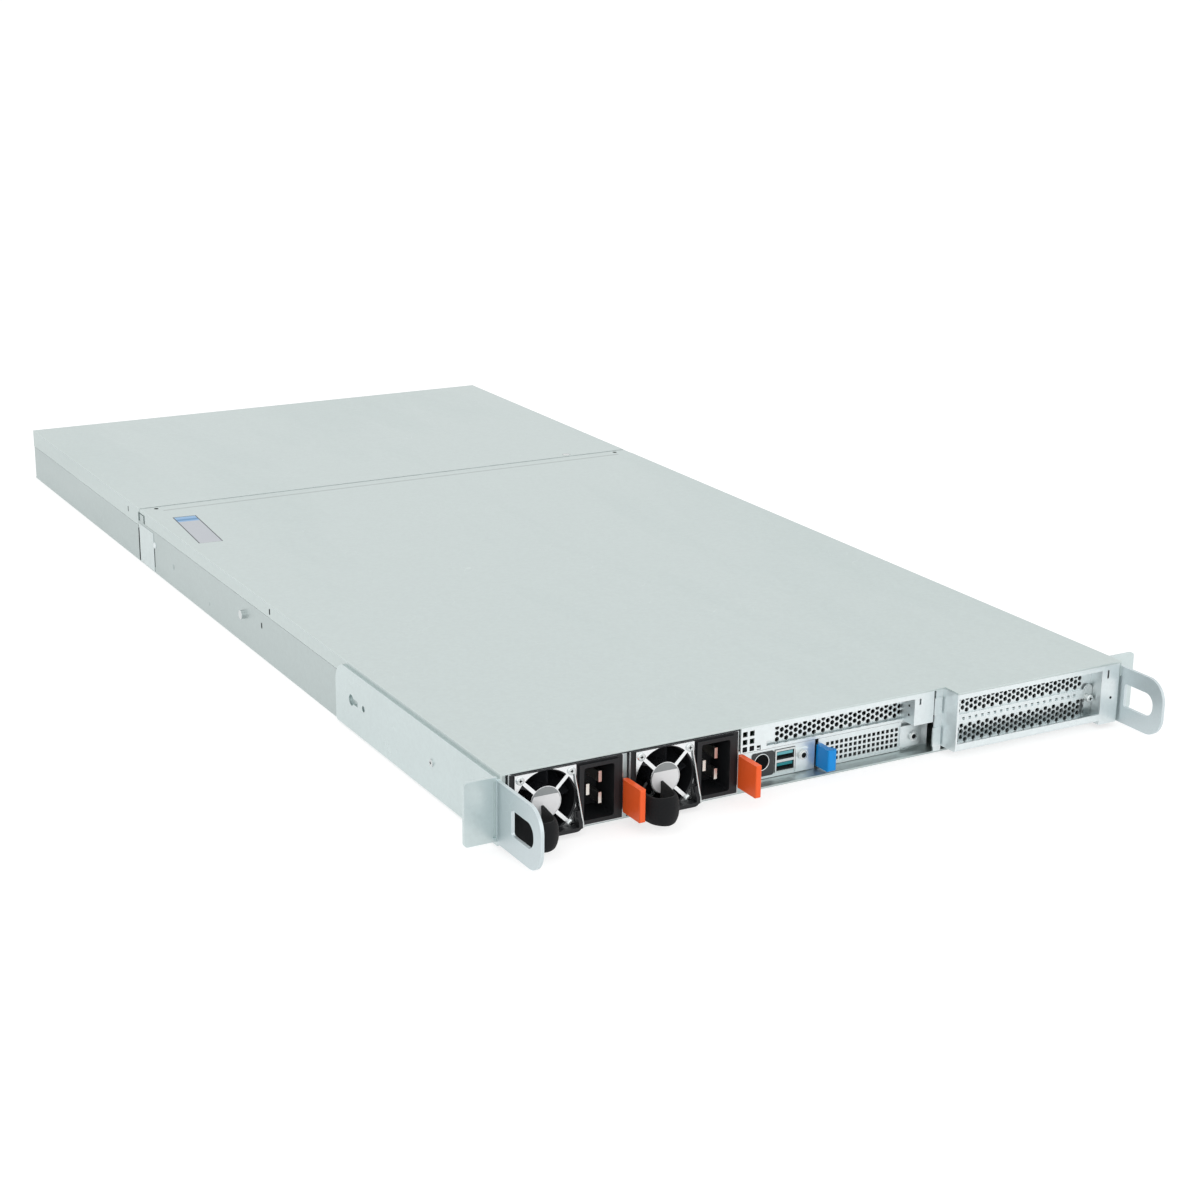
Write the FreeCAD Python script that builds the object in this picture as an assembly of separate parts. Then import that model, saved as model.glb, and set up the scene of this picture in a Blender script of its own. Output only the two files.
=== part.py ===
import FreeCAD, Part
import math
import os

os.makedirs("parts", exist_ok=True)

# A 1U rack server whose power supplies, control module and card slots face the ears.
# Drawn with y = 0 on the front face of the ear flanges, z = 0 under the floor and x = 0
# in the middle; save() then moves every piece so that the origin is the bottom centre.

# Overall size
body_width = 438.0
body_height = 43.5
chassis_depth = 925.0
handle_reach = 52.2
sheet = 1.2
half_width = body_width / 2

# Covers and the walls that carry them
rear_depth = 300.0
cover_gap = 0.6
front_skirt = 9.9
rear_skirt = 14.3
skirt_gap = 0.2
rest_gap = 0.1
tray_split_back = 3.6
tray_split_gap = 0.8
floor_setback = 3.0
rear_lip_height = 7.0
rear_panel_gap = 1.2
coined_band = 13.0
coined_depth = 0.25
notch_reach = 12.0
notch_height = 6.9
locator_front_gap = 3.4
locator_back_gap = 4.0
locator_top_gap = 1.1
rail_half_depth = 22.0
rail_rib = 6.0
screw_x = 165.0
screw_back = 6.0
screw_radius = 1.5
screw_head = 3.2
screw_head_thick = 0.6
screw_length = 5.6
screw_gap = 0.3
splice_half_depth = 36.0
splice_thick = 1.0
seam_y = chassis_depth - rear_depth
tray_split_y = seam_y + tray_split_back
screw_y = seam_y + screw_back
front_skirt_bottom = body_height - front_skirt
rear_skirt_bottom = body_height - rear_skirt
cover_underside = body_height - sheet
wall_top = cover_underside - rest_gap
floor_top = sheet
wall_inner = half_width - 2 * sheet - skirt_gap
notch_front = seam_y - notch_reach
notch_back = tray_split_y + 0.4
notch_top = front_skirt_bottom + notch_height

# Exhaust wall
exhaust_rows = 3
exhaust_slot_length = 60.0
exhaust_slot_height = 7.0
exhaust_row_pitch = 10.6
exhaust_column_gap = 8.8
exhaust_first_row = 7.5
panel_foot = 8.0

# Ears, handles and rail studs
ear_plate = 2.0
ear_flange = 20.3
ear_depth = 228.0
ear_bottom = 1.0
ear_top = body_height - 2.5
ear_corner = 14.0
flange_bottom = 3.8
flange_top = body_height - 1.3
flange_corner = 2.5
bend_groove = 1.8
bend_groove_inset = 0.6
bend_groove_depth = 1.4
bend_groove_margin = 2.2
keyhole_y = 203.0
keyhole_z = 21.5
keyhole_radius = 3.6
keyhole_throat = 3.8
keyhole_length = 10.0
pin_hole_y = 184.0
pin_hole_radius = 2.0
handle_bottom = 2.7
handle_top = body_height - 3.2
handle_corner = 14.0
grip_back = 17.5
grip_front = 43.5
grip_bottom = 14.3
grip_top = 29.6
grip_back_corner = 1.5
grip_corner = 0.46 * (grip_top - grip_bottom)
stud_radius = 3.2
stud_length = 3.0
stud_y = 397.0
stud_z = 22.2
half_span = half_width + ear_plate + ear_flange

# Power supplies and their bay
psu_inset = 3.0
psu_gap = 4.3
psu_depth = 185.0
psu_top_gap = 0.6
psu_wall = 0.8
psu_nose = 27.0
psu_face = 0.4
bay_wall_gap = 1.0
bay_lip = 2.4
bay_top_gap = 0.9
bay_side_gap = 1.7
liner_gap = 0.2
liner_lip = 2.0
guard_left_edge = 3.2
guard_to_inlet = 1.9
inlet_to_edge = 4.2
psu_fan_hub = 9.0
psu_rotor_gap = 2.2
psu_fan_blades = 5
psu_fan_pitch = 32.0
tip_gap = 0.6
duct_back = 3.0
inlet_width = 25.4
inlet_rim = 1.6
rim_width = 2.2
socket_width = 19.6
socket_depth = 20.0
socket_corner = 1.6
contact_width = 2.0
contact_height = 6.6
contact_length = 15.0
contact_side = 4.0
contact_rise = 6.5
guard_thick = 1.0
guard_margin = 0.5
guard_ring_gap = 0.3
guard_disc = 9.8
guard_spoke = 2.2
strap_x = 11.0
strap_radius = 10.3
strap_thick = 1.8
strap_reach = 26.8
strap_bottom = 3.0
strap_width = 17.6
corner_reach = 7.0
corner_height = 13.0
corner_low = 4.0
corner_inset = 2.0
corner_wall = 2.4
corner_round = 4.0
lever_overlap = 1.4
lever_gap = 0.3
lever_round = 1.0
lever_thick = 3.8
lever_length = 21.0
lever_bottom = 6.4
lever_top = 26.4
psu_left = -wall_inner + psu_inset
psu_bottom = floor_top + 0.4
psu_height = wall_top - psu_bottom - psu_top_gap
psu_middle = psu_bottom + psu_height / 2
fan_bore = psu_height / 2 - psu_wall - 0.3
guard_half = fan_bore + guard_margin
fan_x = guard_left_edge + guard_half
inlet_x = fan_x + guard_half + guard_to_inlet + inlet_width / 2
psu_width = inlet_x + inlet_width / 2 + inlet_to_edge
psu_pitch = psu_width + psu_gap
inlet_height = psu_height - 2 * psu_wall - 2.0
socket_height = inlet_height - 2 * rim_width
psu_right = psu_left + psu_pitch + psu_width
bay_right = psu_right + bay_side_gap

# Control module and adapter blank, side by side between the supplies and the bracket
module_y = 13.0
module_gap = 1.2
module_width = 60.2
module_depth = 95.0
module_floor = 1.0
module_bottom = floor_top + 0.3
module_top = 20.2
io_board_thick = 1.2
io_board_gap = 0.4
button_offset = 21.5
button_z = 12.6
button_radius = 4.4
button_travel = 1.5
button_stand = 1.2
switch_y = 27.0
usb_offset = 31.2
usb_width = 14.4
usb_height = 14.4
usb_depth = 16.0
usb_stand = 0.8
switch_width = 6.0
switch_depth = 7.0
board_foot = 4.0
pad_left = 4.6
pad_right = 4.2
pad_foot = 1.0
pad_head = 3.6
button_gap = 0.3
button_chamfer = 0.5
captive_head = 1.5
captive_socket = 2.2
captive_socket_depth = 0.7
port_width = 12.6
port_height = 5.4
port_low = 0.9
port_pitch = 7.0
tongue_low = 2.8
tongue_thick = 1.8
io_screw_offset = 50.4
io_screw_z = 12.8
screw_hole = 3.6
captive_radius = 1.5
captive_seat = 1.1
io_screw_head = 3.2
io_screw_length = 10.0
blank_screw_head = 2.9
blank_screw_length = 8.0
pad_thick = 1.0
blank_gap = 2.6
blank_width = 61.8
blank_depth = 60.0
blank_floor = 0.8
blank_ear = 14.0
blank_ear_low = 3.6
blank_ear_high = 17.4
blank_first_hole = 6.8
tab_lap = 1.4
tab_head = 3.0
tab_taper = 3.0
tab_round = 1.2
blank_screw_offset = 8.2
blank_screw_z = 10.2
tab_width = 4.0
tab_tip = 6.2
tab_bottom = 3.0
tab_height = 13.8
io_left = bay_right + module_gap
io_right = io_left + module_width
io_board_z = module_bottom + module_floor + io_board_gap
usb_bottom = io_board_z + io_board_thick
button_x = io_left + button_offset
usb_left = io_left + usb_offset
usb_right = usb_left + usb_width
io_screw_x = io_left + io_screw_offset
blank_left = io_right + blank_gap
blank_right = blank_left + blank_width
blank_screw_x = blank_right + blank_screw_offset

# Middle of the front, behind the ear plane
frame_y = 1.0
hem_height = 3.3
bracket_gap = 0.6
bracket_width = 14.6
bracket_bottom = 21.5
side_vent_width = 23.1
side_vent_step = 5.1
side_vent_bottom = 26.3
side_vent_rise = 5.2
side_vent_pitch = 4.9
side_vent_hole = 3.3
side_vent_small = 2.9
side_vent_first = 2.8
frame_slot_inset = 3.4
frame_slot_length = 4.0
frame_fold = 10.0
vent_gap = 2.0
vent_margin = 4.5
vent_first_row = 24.4
vent_first_hole = 7.2
vent_tuck = 6.0
shelf_bottom = 20.6
shelf_lip = 2.4
shelf_thick = 0.9
vent_y = module_y + vent_gap
hem_bottom = wall_top - hem_height
bracket_left = blank_right + bracket_gap
bracket_right = bracket_left + bracket_width
side_vent_right = bay_right + side_vent_width

# Card slot cage, ahead of the ear plane, in the rest of the width
cage_reach = 13.0
cage_gap = 7.4
cage_bracket_width = 15.6
cage_bottom = 4.6
cage_lip_height = 5.2
cage_bend = 1.8
cage_hem = 3.0
cage_back_y = 6.5
bracket_foot = 2.6
bracket_slot_width = 1.4
stem_tab_overlap = 6.6
stem_tabs = ((5.0, 17.2), (25.8, 36.7))
cage_slot_inset = 4.3
cage_slot_length = 5.5
slot_panel_y = -2.5
slot_rail_low = 18.8
slot_rail_high = 25.0
slot_rail_depth = 1.2
rail_hole = 2.0
rail_hole_pitch = 4.95
rail_first_hole = 12.6
cover_first_hole = 9.0
cover_last_hole = 7.8
lower_first_row = 7.4
upper_first_row = 27.0
retainer_width = 6.4
retainer_thick = 1.2
retainer_low = 7.0
retainer_head = 2.4
cage_left = bracket_right + cage_gap
cage_bracket_left = half_width - cage_bracket_width
cage_hem_bottom = wall_top - cage_hem
post_left = cage_left - stem_tab_overlap

# Hole patterns
hex_across = 2.9
hex_pitch = 3.8
column_pitch = 3.35
square_hole = 2.3
square_pitch = 3.45
square_rows = 4
square_first_row = 5.4

# Power board, main board and what stands on it
board_thick = 1.6
board_z = 6.2
power_board_depth = 46.0
power_board_gap = 9.0
power_plug_width = 48.0
power_plug_rise = 10.4
power_plug_lap = 10.0
bar_lap = 16.0
bar_width = 12.0
bar_thick = 3.0
bar_inset = 7.4
bar_pitch = 20.0
bar_foot_pitch = 130.0
board_gap = 2.0
board_rear_gap = 14.0
board_side_gap = 1.4
post_width = 5.0
post_inset = 8.0
sink_width = 90.0
sink_depth = 110.0
sink_base = 4.0
sink_fins = 12
fin_thick = 1.2
socket_size = 68.0
socket_rise = 3.4
slot_edge = 4.0
slot_edge_right = 8.0
board_feature_inset = 2.0
coil_gap = 5.0
slot_to_sink = 9.2
sink_to_slot = 5.5
memory_pitch = 7.6
memory_length = 133.35
memory_thick = 1.4
memory_socket_width = 5.6
memory_socket_rise = 6.5
memory_socket_end = 4.5
coil_size = 9.0
coil_pitch = 12.0
coil_rise = 7.0
bridge_size = 36.0
bridge_rise = 9.0
riser_offset = 12.7
bridge_offset = 34.0
riser_slot_width = 6.0
riser_slot_length = 38.0
riser_slot_rise = 6.0
riser_front = 22.0
board_head_gap = 1.5
card_slot_inset = 8.0
card_slot_depth = 8.2
card_slot_length = 90.0
card_slot_rise = 7.5
card_slot_z = (15.0, 30.0)
memory_groups = (2, 5, 2)
board_top = board_z + board_thick
power_board_y = psu_depth + power_board_gap
board_y = power_board_y + power_board_depth + board_gap
board_width = (slot_edge + memory_pitch * (sum(memory_groups) - len(memory_groups)) + 2 * slot_to_sink
               + 2 * sink_width + 2 * sink_to_slot + slot_edge_right)
board_right = wall_inner - board_side_gap
board_left = board_right - board_width
sink_top = body_height - 5.5
memory_top = body_height - 3.3

# System fans, at the back of the front tray
fan_depth = 56.0
fan_pitch = 44.5
fan_count = 6
fan_side_gap = 0.9
fan_seam_gap = 29.0
fan_hub = 10.5
fan_blades = 5
fan_blade_pitch = 14.0
fan_wall = 1.4
motor_depth = 3.0
arm_width = 3.0
window_half = 17.5
cage_foot = 8.0
cage_foot_thick = 1.0
fan_cage_gap = 0.2
fan_top_gap = 0.7
rotor_front_gap = 4.0
rotor_motor_gap = 0.4
blade_thick = 1.4
blade_share = 0.8
hub_sides = 20
shaft_radius = 1.5
shaft_nose = 0.6
bore_sides = 28
fan_bottom = floor_top + 0.3
fan_size = wall_top - fan_bottom - fan_top_gap
system_bore = fan_size / 2 - fan_wall
fan_middle = fan_bottom + fan_size / 2
fan_last_x = wall_inner - fan_side_gap - fan_size / 2
fan_y = seam_y - fan_seam_gap - fan_depth
board_depth = fan_y - board_rear_gap - board_y
board_middle = board_y + board_depth / 2
sink_y = board_middle - sink_depth / 2

# Drives
drive_width = 101.6
drive_depth = 147.0
drive_height = 26.1
drive_gap = 4.4
drive_rear_room = 26.0
drive_plug_room = 12.0
drive_plug_width = 45.0
backplane_gap = 1.0
drive_plug_low = 6.0
drive_plug_rise = 6.0
drive_plug_shift = 5.0
backplane_window = 72.0
backplane_window_low = 30.6
backplane_window_high = 37.0
drive_pitch = drive_width + drive_gap
drive_count = int(2 * wall_inner / drive_pitch)
drive_y = chassis_depth - drive_rear_room - drive_depth
backplane_y = drive_y - drive_plug_room

origin_shift = -(chassis_depth - handle_reach) / 2


def save(name, solids):
    shape = solids if isinstance(solids, Part.Shape) else Part.makeCompound(solids)
    shape.translate(FreeCAD.Vector(0, origin_shift, 0))
    shape.exportStep("parts/" + name + ".step")


def block(x0, x1, y0, y1, z0, z1):
    return Part.makeBox(x1 - x0, y1 - y0, z1 - z0, FreeCAD.Vector(x0, y0, z0))


def rod(x, z, radius, y0, y1):
    return Part.makeCylinder(radius, y1 - y0, FreeCAD.Vector(x, y0, z), FreeCAD.Vector(0, 1, 0))


def prism(x, z, radius, y0, y1, sides):
    """A many-sided rod along the depth; its flats lie at the given radius."""
    corner = radius / math.cos(math.pi / sides)
    turns = [2 * math.pi * k / sides for k in range(sides)]
    outline = [(x + corner * math.cos(turn), z + corner * math.sin(turn)) for turn in turns]
    return extrude_along_y(outline, y0, y1)


def joined(pieces):
    return pieces[0].fuse(pieces[1:]).removeSplitter()


def wire(points):
    return Part.makePolygon(points + points[:1])


def upright(outline, y):
    return wire([FreeCAD.Vector(x, y, z) for x, z in outline])


def rect(x0, x1, z0, z1):
    return [(x0, z0), (x1, z0), (x1, z1), (x0, z1)]


def hexagon(x, z):
    radius = hex_across / math.sqrt(3)
    return [(x + radius * math.cos(math.radians(60 * k + 30)),
             z + radius * math.sin(math.radians(60 * k + 30))) for k in range(6)]


def square(x, z, side):
    return rect(x - side / 2, x + side / 2, z - side / 2, z + side / 2)


def plate(outline, holes, y, thick):
    """A flat sheet facing the front, with its holes cut through."""
    wires = [upright(outline, y)] + [upright(hole, y) for hole in holes]
    face = Part.makeFace(wires, "Part::FaceMakerBullseye")
    return face.extrude(FreeCAD.Vector(0, thick, 0))


def extrude_along_y(outline, y0, y1):
    return Part.Face(upright(outline, y0)).extrude(FreeCAD.Vector(0, y1 - y0, 0))


def hex_band(x_first, x_last, z_low, z_high):
    """Columns of hexagonal holes, every second column half a pitch higher."""
    holes = []
    rows = int((z_high - z_low) / hex_pitch + 0.05)
    for column in range(int((x_last - x_first) / column_pitch) + 1):
        rise = hex_pitch / 2 if column % 2 else 0
        for row in range(rows):
            holes.append(hexagon(x_first + column * column_pitch, z_low + rise + row * hex_pitch))
    return holes


def rounded_wire(corners, x):
    """Closed outline facing sideways; corners are (y, z, radius) in order round it."""
    stops = []
    points = [FreeCAD.Vector(x, y, z) for y, z, _ in corners]
    for k, here in enumerate(points):
        radius = corners[k][2]
        if not radius:
            stops.append((here, None, here))
            continue
        back = (points[k - 1] - here).normalize()
        ahead = (points[(k + 1) % len(points)] - here).normalize()
        half_angle = back.getAngle(ahead) / 2
        reach = radius / math.tan(half_angle)
        crown = (back + ahead).normalize() * (radius / math.sin(half_angle) - radius)
        stops.append((here + back * reach, here + crown, here + ahead * reach))
    edges = []
    for k, (start, crown, end) in enumerate(stops):
        if crown:
            edges.append(Part.Arc(start, crown, end).toShape())
        edges.append(Part.makeLine(end, stops[(k + 1) % len(stops)][0]))
    return Part.Wire(edges)


def rounded_plate(outlines, x, thick):
    """A sheet facing sideways, with its openings left out."""
    face = Part.makeFace([rounded_wire(outline, x) for outline in outlines], "Part::FaceMakerBullseye")
    return face.extrude(FreeCAD.Vector(thick, 0, 0))


def mirrored(shape):
    return shape.mirror(FreeCAD.Vector(0, 0, 0), FreeCAD.Vector(1, 0, 0))


def side_wall(side, y0, y1, skirt_bottom):
    """Wall of a tray: flush below the cover's skirt, set in behind it."""
    step = skirt_bottom - skirt_gap
    outer = half_width
    inset = half_width - sheet - skirt_gap
    outline = [(outer, 0), (outer, step), (inset, step), (inset, wall_top),
               (wall_inner, wall_top), (wall_inner, step - sheet),
               (outer - sheet, step - sheet), (outer - sheet, 0)]
    return extrude_along_y([(side * x, z) for x, z in outline], y0, y1)


def standoff_block(x, y):
    half = post_width / 2
    return block(x - half, x + half, y - half, y + half, floor_top, board_z)


def board_posts():
    """Posts pressed into the floor under the edges of the main board and the power board."""
    rows = (board_y + post_inset, board_middle, board_y + board_depth - post_inset)
    columns = (board_left + post_inset, (board_left + board_right) / 2, board_right - post_inset)
    posts = [standoff_block(x, y) for x in columns for y in rows]
    for x in (psu_left + post_inset, psu_right - post_inset):
        posts.append(standoff_block(x, power_board_y + power_board_depth - post_inset))
    return posts


def cover_locator(side):
    """Tab on the tray wall that stands in the notch between the two covers' skirts."""
    inner = half_width - sheet - skirt_gap
    ends = sorted((side * inner, side * (half_width - 0.1)))
    return block(ends[0], ends[1], notch_front + locator_front_gap, notch_back - locator_back_gap,
                 front_skirt_bottom - skirt_gap - sheet, notch_top - locator_top_gap)


def front_tray():
    """Floor and two side walls; the right wall runs ahead of the floor, beside the card cage."""
    floor = block(-half_width, half_width, floor_setback, tray_split_y, 0, sheet)
    left = side_wall(-1, floor_setback, tray_split_y, front_skirt_bottom)
    right = side_wall(1, -cage_reach + sheet, tray_split_y, front_skirt_bottom)
    below = block(wall_inner, half_width + 1, -cage_reach, floor_setback, -1, bracket_foot)
    return joined([floor, left, right.cut(below), cover_locator(-1), cover_locator(1)])


def rear_tray():
    start = tray_split_y + tray_split_gap
    floor = block(-half_width, half_width, start, chassis_depth, 0, sheet)
    wall_end = chassis_depth - sheet
    walls = [side_wall(side, start, wall_end, rear_skirt_bottom) for side in (-1, 1)]
    return joined([floor] + walls)


def splice_plates():
    """Inner plates that rivet the two trays together across their joint."""
    inner = half_width - sheet
    left = block(-inner, -inner + splice_thick, tray_split_y - splice_half_depth,
                 tray_split_y + splice_half_depth, floor_top, rear_skirt_bottom - skirt_gap - sheet)
    return [left, mirrored(left)]


def cross_rail():
    """Bridge across the walls under the joint of the two covers."""
    rail = block(-wall_inner, wall_inner, seam_y - rail_half_depth, seam_y + rail_half_depth,
                 wall_top - sheet, wall_top)
    rib = block(-wall_inner, wall_inner, seam_y - rail_half_depth,
                seam_y - rail_half_depth + sheet, wall_top - rail_rib, wall_top)
    hole = Part.makeCylinder(screw_radius + screw_gap, 2 * rail_rib,
                             FreeCAD.Vector(screw_x, screw_y, wall_top - rail_rib))
    return joined([rail, rib]).cut(hole)


def cover_screw():
    """Flat-headed screw, sunk flush into the rear cover."""
    seat = body_height - screw_head_thick
    head = Part.makeCylinder(screw_head, screw_head_thick, FreeCAD.Vector(screw_x, screw_y, seat))
    shank = Part.makeCylinder(screw_radius, screw_length,
                              FreeCAD.Vector(screw_x, screw_y, seat - screw_length))
    return head.fuse(shank)


def skirts(y_left, y_right, y_end, bottom):
    inner = half_width - sheet
    left = block(-half_width, -inner, y_left, y_end, bottom, body_height)
    right = block(inner, half_width, y_right, y_end, bottom, body_height)
    return [left, right]


def skirt_notches():
    """Room at both ends of the seam for the tray's locating tabs."""
    inner = half_width - sheet
    left = block(-half_width - 1, -inner, notch_front, notch_back, 0, notch_top)
    return [left, mirrored(left)]


def front_cover():
    end = seam_y - cover_gap / 2
    outline = [(-half_width, 0), (cage_left, 0), (cage_left, -cage_reach),
               (half_width, -cage_reach), (half_width, end), (-half_width, end)]
    top = Part.Face(wire([FreeCAD.Vector(x, y, cover_underside) for x, y in outline]))
    top = top.extrude(FreeCAD.Vector(0, 0, sheet))
    body = joined([top] + skirts(0, -cage_reach, end, front_skirt_bottom))
    band = block(-half_width - 1, half_width + 1, seam_y - coined_band, seam_y,
                 body_height - coined_depth, body_height + 1)
    return body.cut(skirt_notches() + [band])


def rear_cover():
    start = seam_y + cover_gap / 2
    top = block(-half_width, half_width, start, chassis_depth, cover_underside, body_height)
    lip = block(-half_width, half_width, chassis_depth - sheet, chassis_depth,
                body_height - rear_lip_height, body_height)
    body = joined([top, lip] + skirts(start, start, chassis_depth, rear_skirt_bottom))
    sink = Part.makeCylinder(screw_head + screw_gap, sheet,
                             FreeCAD.Vector(screw_x, screw_y, body_height - screw_head_thick))
    hole = Part.makeCylinder(screw_radius + screw_gap, 2 * sheet,
                             FreeCAD.Vector(screw_x, screw_y, cover_underside - 0.5 * sheet))
    return body.cut(skirt_notches() + [sink, hole])


def rear_panel():
    """Exhaust wall: rows of long slots between the side walls."""
    column_step = exhaust_slot_length + exhaust_column_gap
    columns = int((2 * wall_inner - exhaust_column_gap) / column_step)
    holes = []
    for column in range(columns):
        middle = (column - (columns - 1) / 2) * column_step
        for row in range(exhaust_rows):
            low = exhaust_first_row + row * exhaust_row_pitch
            holes.append(rect(middle - exhaust_slot_length / 2, middle + exhaust_slot_length / 2, low,
                              low + exhaust_slot_height))
    y = chassis_depth - 2 * sheet - rear_panel_gap
    wall = plate(rect(-wall_inner, wall_inner, floor_top, wall_top), holes, y, sheet)
    foot = block(-wall_inner, wall_inner, y - panel_foot, y, floor_top, floor_top + sheet)
    return joined([wall, foot])


def left_ear():
    """Side plate with the front flange bent from it, keyhole and pin hole for its fixings."""
    outer = half_width + ear_plate
    outline = [(0, ear_bottom, 0), (ear_depth, ear_bottom, 2), (ear_depth, ear_top, ear_corner),
               (0, ear_top, 0)]
    side = rounded_plate([outline], -outer, ear_plate)
    flange = block(-half_span, -outer, 0, ear_plate, flange_bottom, flange_top)
    corners = [edge for edge in flange.Edges if abs(edge.Length - ear_plate) < 0.01
               and edge.BoundBox.XMax < -half_span + 0.1]
    flange = flange.makeFillet(flange_corner, corners)
    edge = -outer - bend_groove_inset
    groove = block(edge - bend_groove, edge, -1, bend_groove_depth,
                   flange_bottom + bend_groove_margin, flange_top - bend_groove_margin)
    across = FreeCAD.Vector(1, 0, 0)
    keyhole = Part.makeCylinder(keyhole_radius, 2 * ear_plate,
                                FreeCAD.Vector(-outer - 1, keyhole_y, keyhole_z), across)
    throat = block(-outer - 1, -half_width + 1, keyhole_y - keyhole_length, keyhole_y,
                   keyhole_z - keyhole_throat / 2, keyhole_z + keyhole_throat / 2)
    pin_hole = Part.makeCylinder(pin_hole_radius, 2 * ear_plate,
                                 FreeCAD.Vector(-outer - 1, pin_hole_y, keyhole_z), across)
    return joined([side, flange]).cut([groove, keyhole, throat, pin_hole])


def left_handle():
    """Pull handle: a flat plate standing out from the flange, with a finger opening."""
    outline = [(0, handle_bottom, 0), (0, handle_top, 0), (-handle_reach, handle_top, handle_corner),
               (-handle_reach, handle_bottom, handle_corner)]
    opening = [(-grip_back, grip_bottom, grip_back_corner), (-grip_back, grip_top, grip_back_corner),
               (-grip_front, grip_top, grip_corner), (-grip_front, grip_bottom, grip_corner)]
    return rounded_plate([outline, opening], -half_width - ear_plate, ear_plate)


def rail_studs():
    left = Part.makeCylinder(stud_radius, stud_length, FreeCAD.Vector(-half_width, stud_y, stud_z),
                             FreeCAD.Vector(-1, 0, 0))
    return [left, mirrored(left)]


def psu_bay_walls():
    """Folded sheets beside the supplies: liner on the left, divider, and the bay's right wall."""
    top = wall_top - bay_top_gap
    back = psu_depth + 4.0

    def web(x):
        return block(x, x + sheet, floor_setback, back, floor_top, top)

    def lip(x, width):
        return block(x, x + width, floor_setback, floor_setback + sheet, floor_top, top)

    liner_x = -wall_inner + liner_gap
    divider_x = psu_left + psu_width + bay_wall_gap
    return [joined([web(liner_x), lip(liner_x, liner_lip)]),
            joined([web(divider_x), lip(divider_x, bay_lip)]), web(bay_right - sheet)]


def power_board():
    """Board behind the supplies with the two plugs that they slide onto."""
    board = block(psu_left, psu_right, power_board_y, power_board_y + power_board_depth, board_z, board_top)
    parts = [board]
    for index in range(2):
        middle = psu_left + psu_pitch * index + psu_width / 2
        parts.append(block(middle - power_plug_width / 2, middle + power_plug_width / 2, psu_depth + 0.3,
                           power_board_y + power_plug_lap, board_top, board_top + power_plug_rise))
    return parts


def bus_bars():
    """Two flat copper bars from the power board to the drive backplane, on insulators."""
    parts = []
    front = power_board_y + power_board_depth - bar_lap
    for index in range(2):
        left = psu_left + bar_inset + bar_pitch * index
        parts.append(block(left, left + bar_width, front, backplane_y, board_top, board_top + bar_thick))
        for step in range(1, int((backplane_y - board_y) / bar_foot_pitch) + 1):
            y = backplane_y - bar_foot_pitch * step
            parts.append(block(left + 1, left + bar_width - 1, y, y + bar_width, floor_top, board_top))
    return parts


def front_frame():
    """Stamped front frame: hem under the cover, small vent on the left, bracket on the right."""
    step_x = side_vent_right - side_vent_step
    step_z = side_vent_bottom + side_vent_rise
    outline = [(bay_right, side_vent_bottom), (step_x, side_vent_bottom), (step_x, step_z),
               (side_vent_right, step_z), (side_vent_right, hem_bottom), (bracket_left, hem_bottom),
               (bracket_left, bracket_bottom), (bracket_right, bracket_bottom), (bracket_right, wall_top),
               (bay_right, wall_top)]
    first_x = bay_right + side_vent_first
    first_z = side_vent_bottom + side_vent_hole / 2
    rows = int((wall_top - first_z + side_vent_hole / 2) / side_vent_pitch)
    holes = [square(first_x + side_vent_pitch * column, first_z + side_vent_pitch * row, side_vent_hole)
             for column in range(2) for row in range(rows)]
    holes.append(square(first_x + 2 * side_vent_pitch, first_z, side_vent_small))
    slot_x = bracket_left + frame_slot_inset
    slot_top = hem_bottom - 0.3
    holes.append(rect(slot_x, slot_x + bracket_slot_width, slot_top - frame_slot_length, slot_top))
    front = plate(outline, holes, frame_y, sheet)
    side = block(bracket_left, bracket_left + sheet, frame_y, vent_y, bracket_bottom, wall_top)
    top = block(bay_right, bracket_right, frame_y, frame_y + frame_fold, wall_top - sheet, wall_top)
    return joined([front, side, top])


def vent_panel():
    """Perforated panel behind the front frame, with a shelf and a leg that takes the blank's screw."""
    left = side_vent_right + vent_margin
    right = post_left + vent_tuck
    holes = hex_band(left + vent_first_hole, bracket_left - 0.6, vent_first_row, hem_bottom)
    leg_left = bracket_left + 0.2
    outline = [(left, shelf_bottom), (leg_left, shelf_bottom), (leg_left, floor_top), (right, floor_top),
               (right, wall_top), (left, wall_top)]
    panel = plate(outline, holes, vent_y, sheet)
    screw_way = rod(blank_screw_x, blank_screw_z, captive_radius + screw_gap, vent_y - 1, vent_y + 2)
    lip_y = vent_y - shelf_lip
    shelf = block(bay_right, bracket_left, lip_y, vent_y, shelf_bottom, shelf_bottom + shelf_thick)
    lip = block(bay_right, bracket_left, lip_y, lip_y + shelf_thick, shelf_bottom,
                shelf_bottom + 2 * shelf_thick)
    return joined([panel.cut(screw_way), shelf, lip])


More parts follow.
